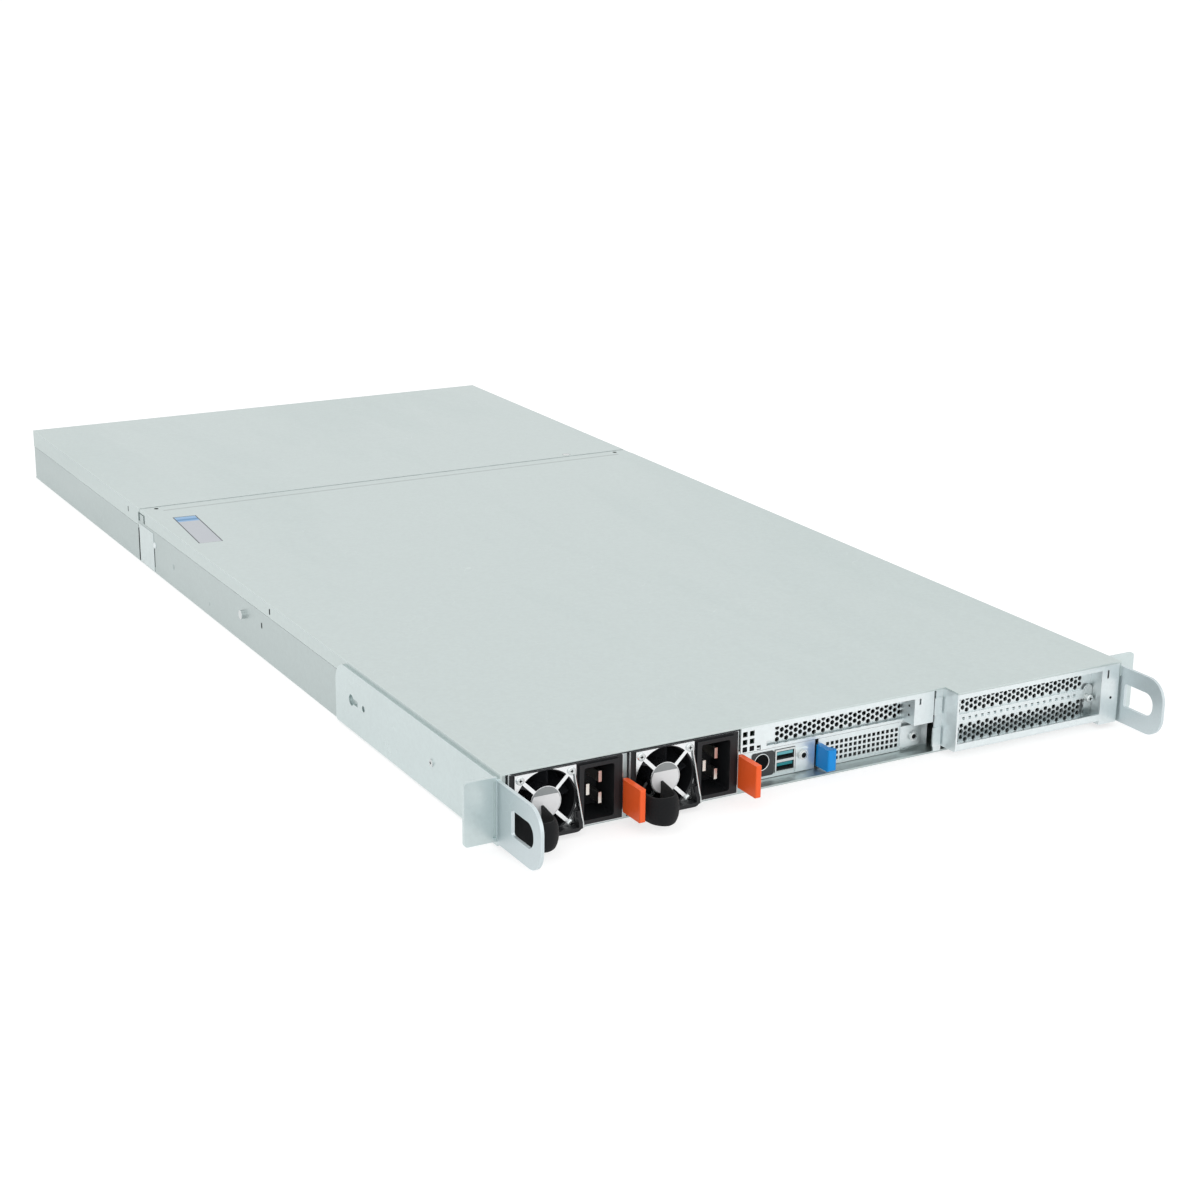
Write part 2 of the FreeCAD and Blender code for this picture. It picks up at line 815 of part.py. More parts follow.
def slot_cage():
    """Open box of folded sheet, ahead of the floor, that frames the two stacked card slots."""
    front = -cage_reach
    left_wall = block(cage_left, cage_left + sheet, front, floor_setback, cage_bottom, wall_top)
    left_wall = left_wall.makeFillet(cage_bend, [edge for edge in left_wall.Edges
                                                 if edge.BoundBox.YMax < front + 0.01
                                                 and edge.BoundBox.ZMax < cage_bottom + 0.01])
    left_foot = block(cage_left, cage_left + sheet, floor_setback, cage_back_y, floor_top, wall_top)
    top_hem = block(cage_left, wall_inner, front, front + sheet, cage_hem_bottom, wall_top)
    shelf = block(cage_left, cage_bracket_left, front + cage_bend, slot_panel_y, cage_bottom,
                  cage_bottom + sheet)
    lip = block(cage_left, cage_bracket_left, front, front + 2 * cage_bend, cage_bottom,
                cage_bottom + cage_lip_height)
    foot = [edge for edge in lip.Edges if edge.BoundBox.YMax < front + 0.01
            and edge.BoundBox.ZMax < cage_bottom + 0.01]
    behind = block(cage_left + sheet, cage_bracket_left, front + sheet, 0, cage_bottom + sheet, wall_top)
    lip = lip.makeFillet(cage_bend, foot).cut(behind)
    slot_x = cage_bracket_left + cage_slot_inset
    slot_top = cage_hem_bottom - 0.2
    slot = rect(slot_x, slot_x + bracket_slot_width, slot_top - cage_slot_length, slot_top)
    bracket = plate(rect(cage_bracket_left, half_width - sheet - 0.3, bracket_foot, wall_top), [slot],
                    front, sheet)
    bracket_wall = block(cage_bracket_left, cage_bracket_left + sheet, front, floor_setback,
                         bracket_foot, wall_top)
    bracket_back = block(cage_bracket_left, cage_bracket_left + sheet, floor_setback, cage_back_y,
                         floor_top, wall_top)
    stem = block(post_left + 1.6, cage_left, frame_y + sheet, frame_y + 2 * sheet, floor_top, wall_top)
    tabs = [block(post_left, cage_left - 1.0, frame_y, frame_y + sheet, low, high)
            for low, high in stem_tabs]
    rail_middle = (slot_rail_low + slot_rail_high) / 2
    rail_holes = int((cage_bracket_left - cage_left - 2 * rail_first_hole) / rail_hole_pitch) + 1
    squares = [square(cage_left + rail_first_hole + rail_hole_pitch * k, rail_middle, rail_hole)
               for k in range(rail_holes)]
    rail = plate(rect(cage_left + sheet, cage_bracket_left, slot_rail_low, slot_rail_high), squares,
                 slot_panel_y - slot_rail_depth, slot_rail_depth)
    return joined([left_wall, left_foot, top_hem, shelf, lip, bracket, bracket_wall, bracket_back,
                   stem, rail] + tabs)


def slot_cover(z0, z1, first_row, last_edge):
    """Blanking cover of one card slot: a perforated plate."""
    holes = hex_band(cage_left + cover_first_hole, cage_bracket_left - cover_last_hole, first_row, last_edge)
    return plate(rect(cage_left + sheet, cage_bracket_left, z0, z1), holes, slot_panel_y, sheet)


def slot_retainer():
    """Clamp plate with a round head that holds the covers' right ends, and its screw."""
    x1 = cage_bracket_left - 0.2
    x0 = x1 - retainer_width
    back = slot_panel_y - slot_rail_depth
    front = back - retainer_thick
    middle = (x0 + x1) / 2
    tongue = block(x0, x1, front, back, retainer_low, slot_rail_high)
    dome = rod(middle, slot_rail_high, retainer_width / 2, front, back)
    head = rod(middle, slot_rail_low + 0.5, retainer_head, front - 1.6, front)
    return joined([tongue, dome, head])


def psu_case(x):
    """Sheet case of one supply, closed and filled behind the moulded nose."""
    body = block(x, x + psu_width, sheet, psu_depth, psu_bottom, psu_bottom + psu_height)
    nose = block(x + psu_wall, x + psu_width - psu_wall, 0, psu_nose,
                 psu_bottom + psu_wall, psu_bottom + psu_height - psu_wall)
    return body.cut(nose)


def along_y(edges, length):
    return [edge for edge in edges if abs(edge.BoundBox.YLength - length) < 0.01
            and edge.BoundBox.DiagonalLength < length + 0.01]


def corner_lip(x):
    """Open dish of the moulding under the fan's right corner, cut away to a slope."""
    floor = psu_bottom + psu_wall
    right = x + inlet_x - inlet_width / 2 - 0.6
    left = x + strap_x + strap_radius + corner_inset
    solid = block(left, right, psu_face - corner_reach, psu_face, floor, floor + corner_height)
    outer_corner = [edge for edge in along_y(solid.Edges, corner_reach)
                    if edge.BoundBox.XMin > right - 0.01 and edge.BoundBox.ZMax < floor + 0.01]
    solid = solid.makeFillet(corner_round, outer_corner)
    hollow = block(left - 1, right - corner_wall, -corner_reach - 1, psu_face, floor + corner_wall,
                   floor + corner_height + 1)
    profile = ((-corner_reach - 1, floor + corner_low), (psu_face, floor + corner_height),
               (psu_face, floor + corner_height + 1), (-corner_reach - 1, floor + corner_height + 1))
    slope = Part.Face(wire([FreeCAD.Vector(left - 1, y, z) for y, z in profile]))
    slope = slope.extrude(FreeCAD.Vector(right - left + 2, 0, 0))
    guard_room = block(left - 1, x + fan_x + guard_half + 0.3, psu_face - guard_thick - 0.3, psu_face, 0,
                       wall_top)
    return solid.cut([hollow, slope, guard_room])


def psu_front(x):
    """Moulding in the nose: fan duct, framed inlet socket, and the dish under the fan's corner."""
    floor = psu_bottom + psu_wall
    inlet = x + inlet_x
    body = block(x + psu_wall, x + psu_width - psu_wall, psu_face, psu_nose, floor,
                 psu_bottom + psu_height - psu_wall)
    bore = rod(x + fan_x, psu_middle, fan_bore, 0, psu_nose - duct_back)
    rim = block(inlet - inlet_width / 2, inlet + inlet_width / 2, psu_face - inlet_rim, psu_face,
                psu_middle - inlet_height / 2, psu_middle + inlet_height / 2)
    socket = block(inlet - socket_width / 2, inlet + socket_width / 2, -2, socket_depth,
                   psu_middle - socket_height / 2, psu_middle + socket_height / 2)
    socket = socket.makeFillet(socket_corner, along_y(socket.Edges, socket_depth + 2))
    return joined([body, rim, corner_lip(x)]).cut([bore, socket])


def psu_blades(x):
    """Three flat contact blades standing in the inlet socket."""
    blades = []
    places = ((-contact_side, 0.0), (contact_side, contact_rise), (contact_side, -contact_rise))
    for dx, dz in places:
        left = x + inlet_x + dx - contact_width / 2
        low = psu_middle + dz - contact_height / 2
        blades.append(block(left, left + contact_width, socket_depth - contact_length, socket_depth,
                            low, low + contact_height))
    return blades


def psu_guard(x):
    """Stamped finger guard: hub disc, four spokes and a pad in each corner of the fan."""
    hub_x = x + fan_x
    front = psu_face - guard_thick
    half_height = psu_height / 2 - psu_wall
    corners = block(hub_x - guard_half, hub_x + guard_half, front, psu_face, psu_middle - half_height,
                    psu_middle + half_height)
    corners = corners.cut(rod(hub_x, psu_middle, guard_half + guard_ring_gap, front - 1, psu_face + 1))
    disc = rod(hub_x, psu_middle, guard_disc, front, psu_face)
    spokes = []
    for angle in (45, 135, 225, 315):
        spoke = block(hub_x + guard_disc - 0.6, hub_x + guard_half + 1.5, front, psu_face,
                      psu_middle - guard_spoke / 2, psu_middle + guard_spoke / 2)
        spoke.rotate(FreeCAD.Vector(hub_x, 0, psu_middle), FreeCAD.Vector(0, 1, 0), angle)
        spokes.append(spoke)
    return joined([corners, disc] + spokes)


def rotor(x, z, y0, y1, hub, bore, blades, pitch_angle):
    """Fan wheel: hub on its shaft, with flat pitched blades that end just inside the bore."""
    middle = (y0 + y1) / 2
    chord = (y1 - y0) * blade_share
    sweep = chord / 2 * math.sin(math.radians(pitch_angle)) + 1.0
    tip = math.sqrt((bore - tip_gap) ** 2 - sweep ** 2)
    parts = [prism(x, z, hub, y0, y1, hub_sides), rod(x, z, shaft_radius, y0 - shaft_nose, y1)]
    for k in range(blades):
        blade = block(x - blade_thick / 2, x + blade_thick / 2, middle - chord / 2, middle + chord / 2,
                      z + hub - blade_thick, z + tip)
        blade.rotate(FreeCAD.Vector(x, middle, z), FreeCAD.Vector(0, 0, 1), pitch_angle)
        blade.rotate(FreeCAD.Vector(x, middle, z), FreeCAD.Vector(0, 1, 0), 360.0 * k / blades)
        parts.append(blade)
    return joined(parts)


def psu_rotor(x):
    back = psu_nose - duct_back - rotor_motor_gap
    return rotor(x + fan_x, psu_middle, psu_face + psu_rotor_gap, back, psu_fan_hub, fan_bore,
                 psu_fan_blades, psu_fan_pitch)


def psu_strap(x):
    """Pull strap: a band bent into a U, both ends on the guard."""
    centre_x = x + strap_x
    bend_y = -strap_reach + strap_radius
    root = psu_face - guard_thick
    top = strap_bottom + strap_width

    def u_solid(radius):
        straight = block(centre_x - radius, centre_x + radius, bend_y, root, strap_bottom, top)
        bend = Part.makeCylinder(radius, strap_width, FreeCAD.Vector(centre_x, bend_y, strap_bottom))
        return straight.fuse(bend)

    return u_solid(strap_radius).cut(u_solid(strap_radius - strap_thick)).removeSplitter()


def psu_lever(x):
    """Release latch at the supply's right edge: an upright plate that turns on its round heel."""
    left = x + psu_width - lever_overlap
    radius = lever_thick / 2
    heel_y = psu_face - lever_gap - radius
    arm = block(left, left + lever_thick, -lever_length, heel_y, lever_bottom, lever_top)
    heel = Part.makeCylinder(radius, lever_top - lever_bottom,
                             FreeCAD.Vector(left + radius, heel_y, lever_bottom))
    lever = joined([arm, heel])
    tips = [edge for edge in lever.Edges if edge.BoundBox.YMax < -lever_length + 0.01]
    return lever.makeFillet(lever_round, tips)


def io_bracket():
    """Carrier of the control module: pierced face, floor and the pad of its captive screw."""
    button = Part.makeCircle(button_radius + button_gap, FreeCAD.Vector(button_x, module_y, button_z),
                             FreeCAD.Vector(0, 1, 0))
    outline = upright(rect(io_left, io_right, module_bottom, module_top), module_y)
    port = upright(rect(usb_left - 0.3, usb_right + 0.3, usb_bottom - 0.3, usb_bottom + usb_height + 0.3),
                   module_y)
    hole = square(io_screw_x, io_screw_z, screw_hole)
    wires = [outline, Part.Wire(button), port, upright(hole, module_y)]
    face = Part.makeFace(wires, "Part::FaceMakerBullseye")
    face = face.extrude(FreeCAD.Vector(0, sheet, 0))
    floor = block(io_left, io_right, module_y, module_y + module_depth, module_bottom,
                  module_bottom + module_floor)
    pad = rect(io_screw_x - pad_left, io_screw_x + pad_right, module_bottom + pad_foot, module_top - pad_head)
    pad = plate(pad, [hole], module_y - pad_thick, pad_thick)
    return joined([face, floor, pad])


def io_board():
    """Small board on two rows of feet, with the switch behind the power button."""
    front = module_y + sheet + 0.6
    back = module_y + module_depth - 2
    board = block(io_left + 0.6, io_right - 0.6, front, back, io_board_z, io_board_z + io_board_thick)
    feet = [block(x, x + board_foot, y, y + board_foot, module_bottom + module_floor, io_board_z)
            for x in (io_left + 3, io_right - board_foot - 3) for y in (front + 4, back - board_foot - 4)]
    switch_front = switch_y + button_travel + 0.3
    switch = block(button_x - switch_width / 2, button_x + switch_width / 2, switch_front,
                   switch_front + switch_depth, usb_bottom, button_z + 2)
    return joined([board, switch] + feet)


def usb_block():
    """Two stacked ports in one shell, each with its tongue."""
    middle = (usb_left + usb_right) / 2
    half = port_width / 2
    body = block(usb_left, usb_right, module_y - usb_stand, module_y + usb_depth, usb_bottom,
                 usb_bottom + usb_height)
    cuts = []
    tongues = []
    for index in range(2):
        low = usb_bottom + port_low + port_pitch * index
        cuts.append(block(middle - half, middle + half, module_y - 2, module_y + 10, low, low + port_height))
        tongues.append(block(middle - half + 0.6, middle + half - 0.6, module_y, module_y + 11,
                             low + tongue_low, low + tongue_low + tongue_thick))
    return joined([body.cut(cuts)] + tongues)


def power_button():
    cap = rod(button_x, button_z, button_radius, module_y - button_stand, switch_y)
    front = [edge for edge in cap.Edges if edge.BoundBox.YMax < module_y - button_stand + 0.1]
    return cap.makeChamfer(button_chamfer, front)


def captive_screw(x, z, head_radius, length):
    """Screw with a square socket, its head just clear of the pad behind it."""
    seat = module_y - captive_seat
    head = rod(x, z, head_radius, seat - captive_head, seat)
    shank = rod(x, z, captive_radius, seat, seat + length)
    half = captive_socket / 2
    socket = block(x - half, x + half, seat - 2 * captive_head, seat - captive_head + captive_socket_depth,
                   z - half, z + half)
    return joined([head, shank]).cut(socket)


def adapter_blank():
    """Blanking carrier of the adapter bay: perforated face, floor and screw ear."""
    first = blank_left + blank_first_hole
    columns = int((blank_right - first - square_hole) / square_pitch) + 1
    holes = [square(first + square_pitch * column, square_first_row + square_pitch * row, square_hole)
             for column in range(columns) for row in range(square_rows)]
    face = plate(rect(blank_left, blank_right, module_bottom + 0.3, module_top), holes, module_y, pad_thick)
    ear_hole = square(blank_screw_x, blank_screw_z, screw_hole)
    ear = plate(rect(blank_right - 1.0, blank_right + blank_ear, blank_ear_low, blank_ear_high), [ear_hole],
                module_y - pad_thick, pad_thick)
    floor = block(blank_left, blank_right, module_y, module_y + blank_depth, module_bottom,
                  module_bottom + blank_floor)
    return joined([face, ear, floor])


def pull_tab():
    """Moulded tab on the blank's left end, thicker at its rounded tip."""
    left = blank_left - tab_lap
    outline = [(left, 0), (left + tab_tip, 0), (left + tab_tip, tab_head),
               (left + tab_width, tab_head + tab_taper), (left + tab_width, module_y), (left, module_y)]
    tab = Part.Face(wire([FreeCAD.Vector(x, y, tab_bottom) for x, y in outline]))
    tab = tab.extrude(FreeCAD.Vector(0, 0, tab_height))
    front = [edge for edge in tab.Edges if edge.BoundBox.YMax < 0.1]
    return tab.makeFillet(tab_round, front)


def board_columns():
    """Left edges of the two coolers and middles of the memory slots, from left to right."""
    sinks = []
    slots = []
    x = board_left + slot_edge
    for number, count in enumerate(memory_groups):
        slots += [x + memory_pitch * k for k in range(count)]
        x += memory_pitch * (count - 1) + slot_to_sink
        if number < 2:
            sinks.append(x)
            x += sink_width + sink_to_slot
    return sinks, slots


def motherboard():
    """Main board with processor sockets, coils ahead of them, bridge chip and the riser's slot."""
    board = block(board_left, board_right, board_y, board_y + board_depth, board_z, board_top)
    parts = [board]
    for left in board_columns()[0]:
        x = left + (sink_width - socket_size) / 2
        y = board_middle - socket_size / 2
        parts.append(block(x, x + socket_size, y, y + socket_size, board_top, board_top + socket_rise))
        for k in range(int(socket_size / coil_pitch)):
            coil_x = x + coil_pitch * k
            parts.append(block(coil_x, coil_x + coil_size, sink_y - coil_gap - coil_size, sink_y - coil_gap,
                               board_top, board_top + coil_rise))
    riser_x = cage_left + riser_offset
    front = board_y + board_feature_inset
    parts.append(block(riser_x - riser_slot_width / 2, riser_x + riser_slot_width / 2, front,
                       front + riser_slot_length, board_top, board_top + riser_slot_rise))
    bridge_x = riser_x + bridge_offset
    parts.append(block(bridge_x, bridge_x + bridge_size, front, front + bridge_size, board_top,
                       board_top + bridge_rise))
    return joined(parts)


def heatsinks():
    """Finned coolers over the two processors."""
    base = board_top + socket_rise
    sinks = []
    step = (sink_width - fin_thick) / (sink_fins - 1)
    for left in board_columns()[0]:
        outline = [(left, base), (left + sink_width, base)]
        for k in reversed(range(sink_fins)):
            fin = left + k * step
            outline += [(fin + fin_thick, sink_top), (fin, sink_top)]
            if k:
                outline += [(fin, base + sink_base), (fin - step + fin_thick, base + sink_base)]
        sinks.append(extrude_along_y(outline, sink_y, sink_y + sink_depth))
    return sinks


def memory_sockets():
    half = memory_socket_width / 2
    y0 = board_middle - memory_length / 2 - memory_socket_end
    y1 = board_middle + memory_length / 2 + memory_socket_end
    return [block(x - half, x + half, y0, y1, board_top, board_top + memory_socket_rise)
            for x in board_columns()[1]]


def memory_modules():
    low = board_top + memory_socket_rise
    half = memory_thick / 2
    return [block(x - half, x + half, board_middle - memory_length / 2, board_middle + memory_length / 2,
                  low, memory_top) for x in board_columns()[1]]


def riser_board():
    """Upright board that brings the main board's slot up beside the card cage."""
    left = cage_left + riser_offset - board_thick / 2
    right = left + board_thick
    back = board_y + board_feature_inset + riser_slot_length
    board = block(left, right, riser_front, back, board_top + riser_slot_rise, wall_top - board_head_gap)
    front = riser_front + card_slot_inset
    slots = [block(right, right + card_slot_depth, front, front + card_slot_length, z, z + card_slot_rise)
             for z in card_slot_z]
    return joined([board] + slots)


def fan_place(index):
    return fan_last_x - fan_pitch * (fan_count - 1 - index)


def fan_cage():
    """Upright wall ahead of the fans, one window for each, and a foot on the floor."""
    windows = [rect(fan_place(k) - window_half, fan_place(k) + window_half, fan_middle - window_half,
                    fan_middle + window_half) for k in range(fan_count)]
    left = fan_place(0) - fan_size / 2 - sheet
    right = wall_inner - fan_cage_gap
    back = fan_y - fan_cage_gap
    wall = plate(rect(left, right, floor_top, wall_top - 0.4), windows, back - sheet, sheet)
    foot = block(left, right, back - cage_foot, back, floor_top, floor_top + cage_foot_thick)
    return joined([wall, foot])


def fan_frames():
    """Square fan bodies with their ducts, each with its motor on an upright arm at the back."""
    frames = []
    half = fan_size / 2
    back = fan_y + fan_depth
    for index in range(fan_count):
        x = fan_place(index)
        body = block(x - half, x + half, fan_y, back, fan_bottom, fan_bottom + fan_size)
        body = body.cut(prism(x, fan_middle, system_bore, fan_y - 1, back + 1, bore_sides))
        motor = prism(x, fan_middle, fan_hub - 1.0, back - 2 * motor_depth, back - motor_depth, hub_sides)
        arm = block(x - arm_width / 2, x + arm_width / 2, back - motor_depth, back, fan_bottom + 0.5,
                    fan_bottom + fan_size - 0.5)
        frames.append(joined([body, motor, arm]))
    return frames


def system_rotor(index):
    back = fan_y + fan_depth - 2 * motor_depth - rotor_motor_gap
    return rotor(fan_place(index), fan_middle, fan_y + rotor_front_gap, back, fan_hub, system_bore,
                 fan_blades, fan_blade_pitch)


def drive_places():
    return [drive_pitch * (k - (drive_count - 1) / 2) for k in range(drive_count)]


def backplane():
    """Upright board between fans and drives, with air windows and drive connectors."""
    half = backplane_window / 2
    windows = [rect(x - half, x + half, backplane_window_low, backplane_window_high) for x in drive_places()]
    side = wall_inner - backplane_gap
    board = plate(rect(-side, side, floor_top, wall_top - board_head_gap), windows, backplane_y, board_thick)
    plugs = [block(x - drive_plug_width + drive_plug_shift, x + drive_plug_shift, backplane_y + board_thick,
                   drive_y, drive_plug_low, drive_plug_low + drive_plug_rise) for x in drive_places()]
    return joined([board] + plugs)


def drives():
    return [block(x - drive_width / 2, x + drive_width / 2, drive_y, drive_y + drive_depth,
                  floor_top, floor_top + drive_height) for x in drive_places()]


save("front_tray", front_tray())
save("rear_tray", rear_tray())
save("board_posts", board_posts())
save("splice_plates", splice_plates())
save("cross_rail", cross_rail())
save("rear_panel", rear_panel())
save("front_cover", front_cover())
save("rear_cover", rear_cover())
save("cover_screw", cover_screw())
save("left_ear", left_ear())
save("left_handle", left_handle())
save("right_ear", mirrored(left_ear()))
save("right_handle", mirrored(left_handle()))
save("rail_studs", rail_studs())
save("psu_bay_walls", psu_bay_walls())
save("power_board", power_board())
save("bus_bars", bus_bars())
save("front_frame", front_frame())
save("vent_panel", vent_panel())
save("slot_cage", slot_cage())
slot_middle = (slot_rail_low + slot_rail_high) / 2
save("slot_cover_lower", slot_cover(cage_bottom, slot_middle - 0.3, lower_first_row, slot_rail_low))
save("slot_cover_upper", slot_cover(slot_middle + 0.3, wall_top - 0.4, upper_first_row, cage_hem_bottom))
save("slot_retainer", slot_retainer())
for number in (1, 2):
    left = psu_left + psu_pitch * (number - 1)
    label = "psu_" + str(number) + "_"
    save(label + "case", psu_case(left))
    save(label + "front", psu_front(left))
    save(label + "blades", psu_blades(left))
    save(label + "guard", psu_guard(left))
    save(label + "rotor", psu_rotor(left))
    save(label + "strap", psu_strap(left))
    save(label + "lever", psu_lever(left))
save("io_bracket", io_bracket())
save("io_board", io_board())
save("usb_block", usb_block())
save("power_button", power_button())
save("io_screw", captive_screw(io_screw_x, io_screw_z, io_screw_head, io_screw_length))
save("adapter_blank", adapter_blank())
save("pull_tab", pull_tab())
save("blank_screw", captive_screw(blank_screw_x, blank_screw_z, blank_screw_head, blank_screw_length))
save("motherboard", motherboard())
save("heatsinks", heatsinks())
save("memory_sockets", memory_sockets())
save("memory_modules", memory_modules())
save("riser_board", riser_board())
save("fan_cage", fan_cage())
save("fan_frames", fan_frames())
for index in range(fan_count):
    save("fan_rotor_" + str(index + 1), system_rotor(index))
save("backplane", backplane())
save("drives", drives())
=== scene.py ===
import math

import bmesh
import bpy
from mathutils import Matrix, Vector


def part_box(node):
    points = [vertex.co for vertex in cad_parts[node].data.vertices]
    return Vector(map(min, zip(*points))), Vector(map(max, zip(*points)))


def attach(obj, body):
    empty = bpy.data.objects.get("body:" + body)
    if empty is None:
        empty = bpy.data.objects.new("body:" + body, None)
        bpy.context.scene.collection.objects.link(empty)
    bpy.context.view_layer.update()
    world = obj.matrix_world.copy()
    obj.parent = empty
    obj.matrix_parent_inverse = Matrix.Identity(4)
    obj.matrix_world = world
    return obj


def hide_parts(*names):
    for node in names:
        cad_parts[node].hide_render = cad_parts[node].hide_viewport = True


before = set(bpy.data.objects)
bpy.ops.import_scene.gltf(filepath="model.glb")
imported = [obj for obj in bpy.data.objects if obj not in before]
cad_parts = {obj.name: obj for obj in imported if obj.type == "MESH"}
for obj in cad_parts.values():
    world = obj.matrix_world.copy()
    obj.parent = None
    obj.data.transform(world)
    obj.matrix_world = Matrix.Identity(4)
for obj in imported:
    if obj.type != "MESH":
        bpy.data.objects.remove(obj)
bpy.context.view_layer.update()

# The studio: white paper under and behind the server, a square lamp overhead and a broad one
# in front, both soft, so that the bare steel reads pale and nearly without shadow.
MM = 0.001
PAPER = (0.93, 0.93, 0.93, 1.0)
PAPER_SEEN = (0.42, 0.42, 0.42, 1.0)
PAPER_GLOW = (0.70, 0.70, 0.70, 1.0)
NONE = (0.0, 0.0, 0.0, 1.0)
WHITE = (1.0, 1.0, 1.0, 1.0)


def node(tree, kind, inputs=(), **settings):
    """Adds a node; inputs are pairs of socket name or number and a value or another socket."""
    made = tree.nodes.new("ShaderNode" + kind)
    for key, value in settings.items():
        setattr(made, key, value)
    for key, value in inputs:
        socket = made.inputs[key]
        if isinstance(value, bpy.types.NodeSocket):
            tree.links.new(value, socket)
        else:
            socket.default_value = value
    return made


def arithmetic(tree, operation, first, second=0.0, clamp=False):
    return node(tree, "Math", ((0, first), (1, second)), operation=operation,
                use_clamp=clamp).outputs[0]


def blended(tree, share, first, second):
    mixed = node(tree, "Mix", ((0, share), (6, first), (7, second)), data_type="RGBA")
    return mixed.outputs[2]


def veiled(tree, mask, share, first, second):
    """Blends by the first output of a mask, of which only a share counts."""
    return blended(tree, arithmetic(tree, "MULTIPLY", mask.outputs[0], share), first, second)


def embossed(tree, shader, height, strength, distance=0.0001):
    """Gives a finish its fine relief."""
    bump = node(tree, "Bump", (("Height", height), ("Strength", strength), ("Distance", distance)))
    tree.links.new(bump.outputs[0], shader.inputs["Normal"])


def glossed(tree, shader, mask, share, roughness):
    """Makes a finish duller where a mask lies."""
    dulled = arithmetic(tree, "MULTIPLY", mask, share)
    tree.links.new(arithmetic(tree, "ADD", dulled, roughness), shader.inputs["Roughness"])


def solo(piece):
    """Leaves one object selected and active."""
    bpy.ops.object.select_all(action="DESELECT")
    piece.select_set(True)
    bpy.context.view_layer.objects.active = piece


def new_material(name):
    material = bpy.data.materials.new(name)
    material.use_nodes = True
    tree = material.node_tree
    return material, tree, tree.nodes["Principled BSDF"]


paper, tree, shader = new_material("studio_paper")
path = node(tree, "LightPath")
seen = arithmetic(tree, "MAXIMUM", path.outputs["Is Camera Ray"], path.outputs["Is Glossy Ray"])
tree.links.new(blended(tree, seen, PAPER, PAPER_SEEN), shader.inputs["Base Color"])
tree.links.new(blended(tree, seen, NONE, PAPER_GLOW), shader.inputs["Emission Color"])
shader.inputs["Emission Strength"].default_value = 1.0
shader.inputs["Roughness"].default_value = 0.9
shader.inputs["Specular IOR Level"].default_value = 0.1
bpy.ops.object.select_all(action="DESELECT")
bpy.ops.mesh.primitive_plane_add(size=120, location=(0, 0, -0.0004))
floor = bpy.context.object
floor.name = "studio_floor"
floor.data.materials.append(paper)

world = bpy.data.worlds.new("studio_world")
bpy.context.scene.world = world
world.use_nodes = True
tree = world.node_tree
tree.nodes.clear()
path = node(tree, "LightPath")
seen = arithmetic(tree, "MAXIMUM", path.outputs["Is Camera Ray"], path.outputs["Is Glossy Ray"])
strength = arithmetic(tree, "ADD", arithmetic(tree, "MULTIPLY", seen, 0.25), 0.75)
sky = node(tree, "Background", (("Color", WHITE), ("Strength", strength)))
out = node(tree, "OutputWorld", (("Surface", sky.outputs[0]),))


def lamp(name, place, aim, size, watts):
    light = bpy.data.lights.new(name, "AREA")
    light.shape = "RECTANGLE"
    light.size = size[0]
    light.size_y = size[1]
    light.energy = watts
    holder = bpy.data.objects.new(name, light)
    bpy.context.scene.collection.objects.link(holder)
    holder.location = place
    holder.rotation_euler = (Vector(aim) - Vector(place)).to_track_quat("-Z", "Y").to_euler()
    return holder


lamp("overhead_lamp", (-0.4, 0.2, 2.6), (0, 0, 0), (2.4, 2.4), 12)
lamp("front_lamp", (-0.2, -2.8, 1.25), (0, -0.4, 0), (5.0, 2.4), 22)

camera_data = bpy.data.cameras.new("photo_camera")
camera_data.lens = 66.643
camera_data.sensor_width = 36.0
camera_data.clip_end = 200.0
camera = bpy.data.objects.new("photo_camera", camera_data)
bpy.context.scene.collection.objects.link(camera)
camera.location = (-0.732329, -1.452134, 0.504318)
camera.rotation_euler = (1.264565, -0.011310, -0.511738)
bpy.context.scene.camera = camera
bpy.context.scene.view_settings.view_transform = "Standard"

# Galvanised sheet: trays, covers, cage and inner walls are pressed from zinc-coated steel.
# The zinc has faint crystals, rolling marks and smears from handling, and its edges are painted
# paler, partly as pale cut metal and partly as painted highlight. The walls of the trays, rear
# panel and supply bay take a darker copy of the zinc as painted shade, and the front frame, vent,
# cage, brackets and rivets a lighter copy as painted light.
ZINC = (0.575, 0.645, 0.636, 1.0)
ZINC_SHADED_SIDE = (0.475, 0.54, 0.535, 1.0)
ZINC_LIT = (0.76, 0.82, 0.83, 1.0)
ZINC_INNER = (0.46, 0.52, 0.54, 1.0)


def group(name, inputs, outputs):
    """A shader node group; inputs are (name, kind, default) and outputs are (name, kind)."""
    made = bpy.data.node_groups.new(name, "ShaderNodeTree")
    for label, kind, default in inputs:
        socket = made.interface.new_socket(label, in_out="INPUT", socket_type="NodeSocket" + kind)
        if default is not None:
            socket.default_value = default
    for label, kind in outputs:
        made.interface.new_socket(label, in_out="OUTPUT", socket_type="NodeSocket" + kind)
    return made, made.nodes.new("NodeGroupInput"), made.nodes.new("NodeGroupOutput")


def use(tree, shared, **inputs):
    """Places a shared group in a material with its own values."""
    made = tree.nodes.new("ShaderNodeGroup")
    made.node_tree = shared
    for key, value in inputs.items():
        socket = made.inputs[key.replace("_", " ")]
        if isinstance(value, bpy.types.NodeSocket):
            tree.links.new(value, socket)
        else:
            socket.default_value = value
    return made


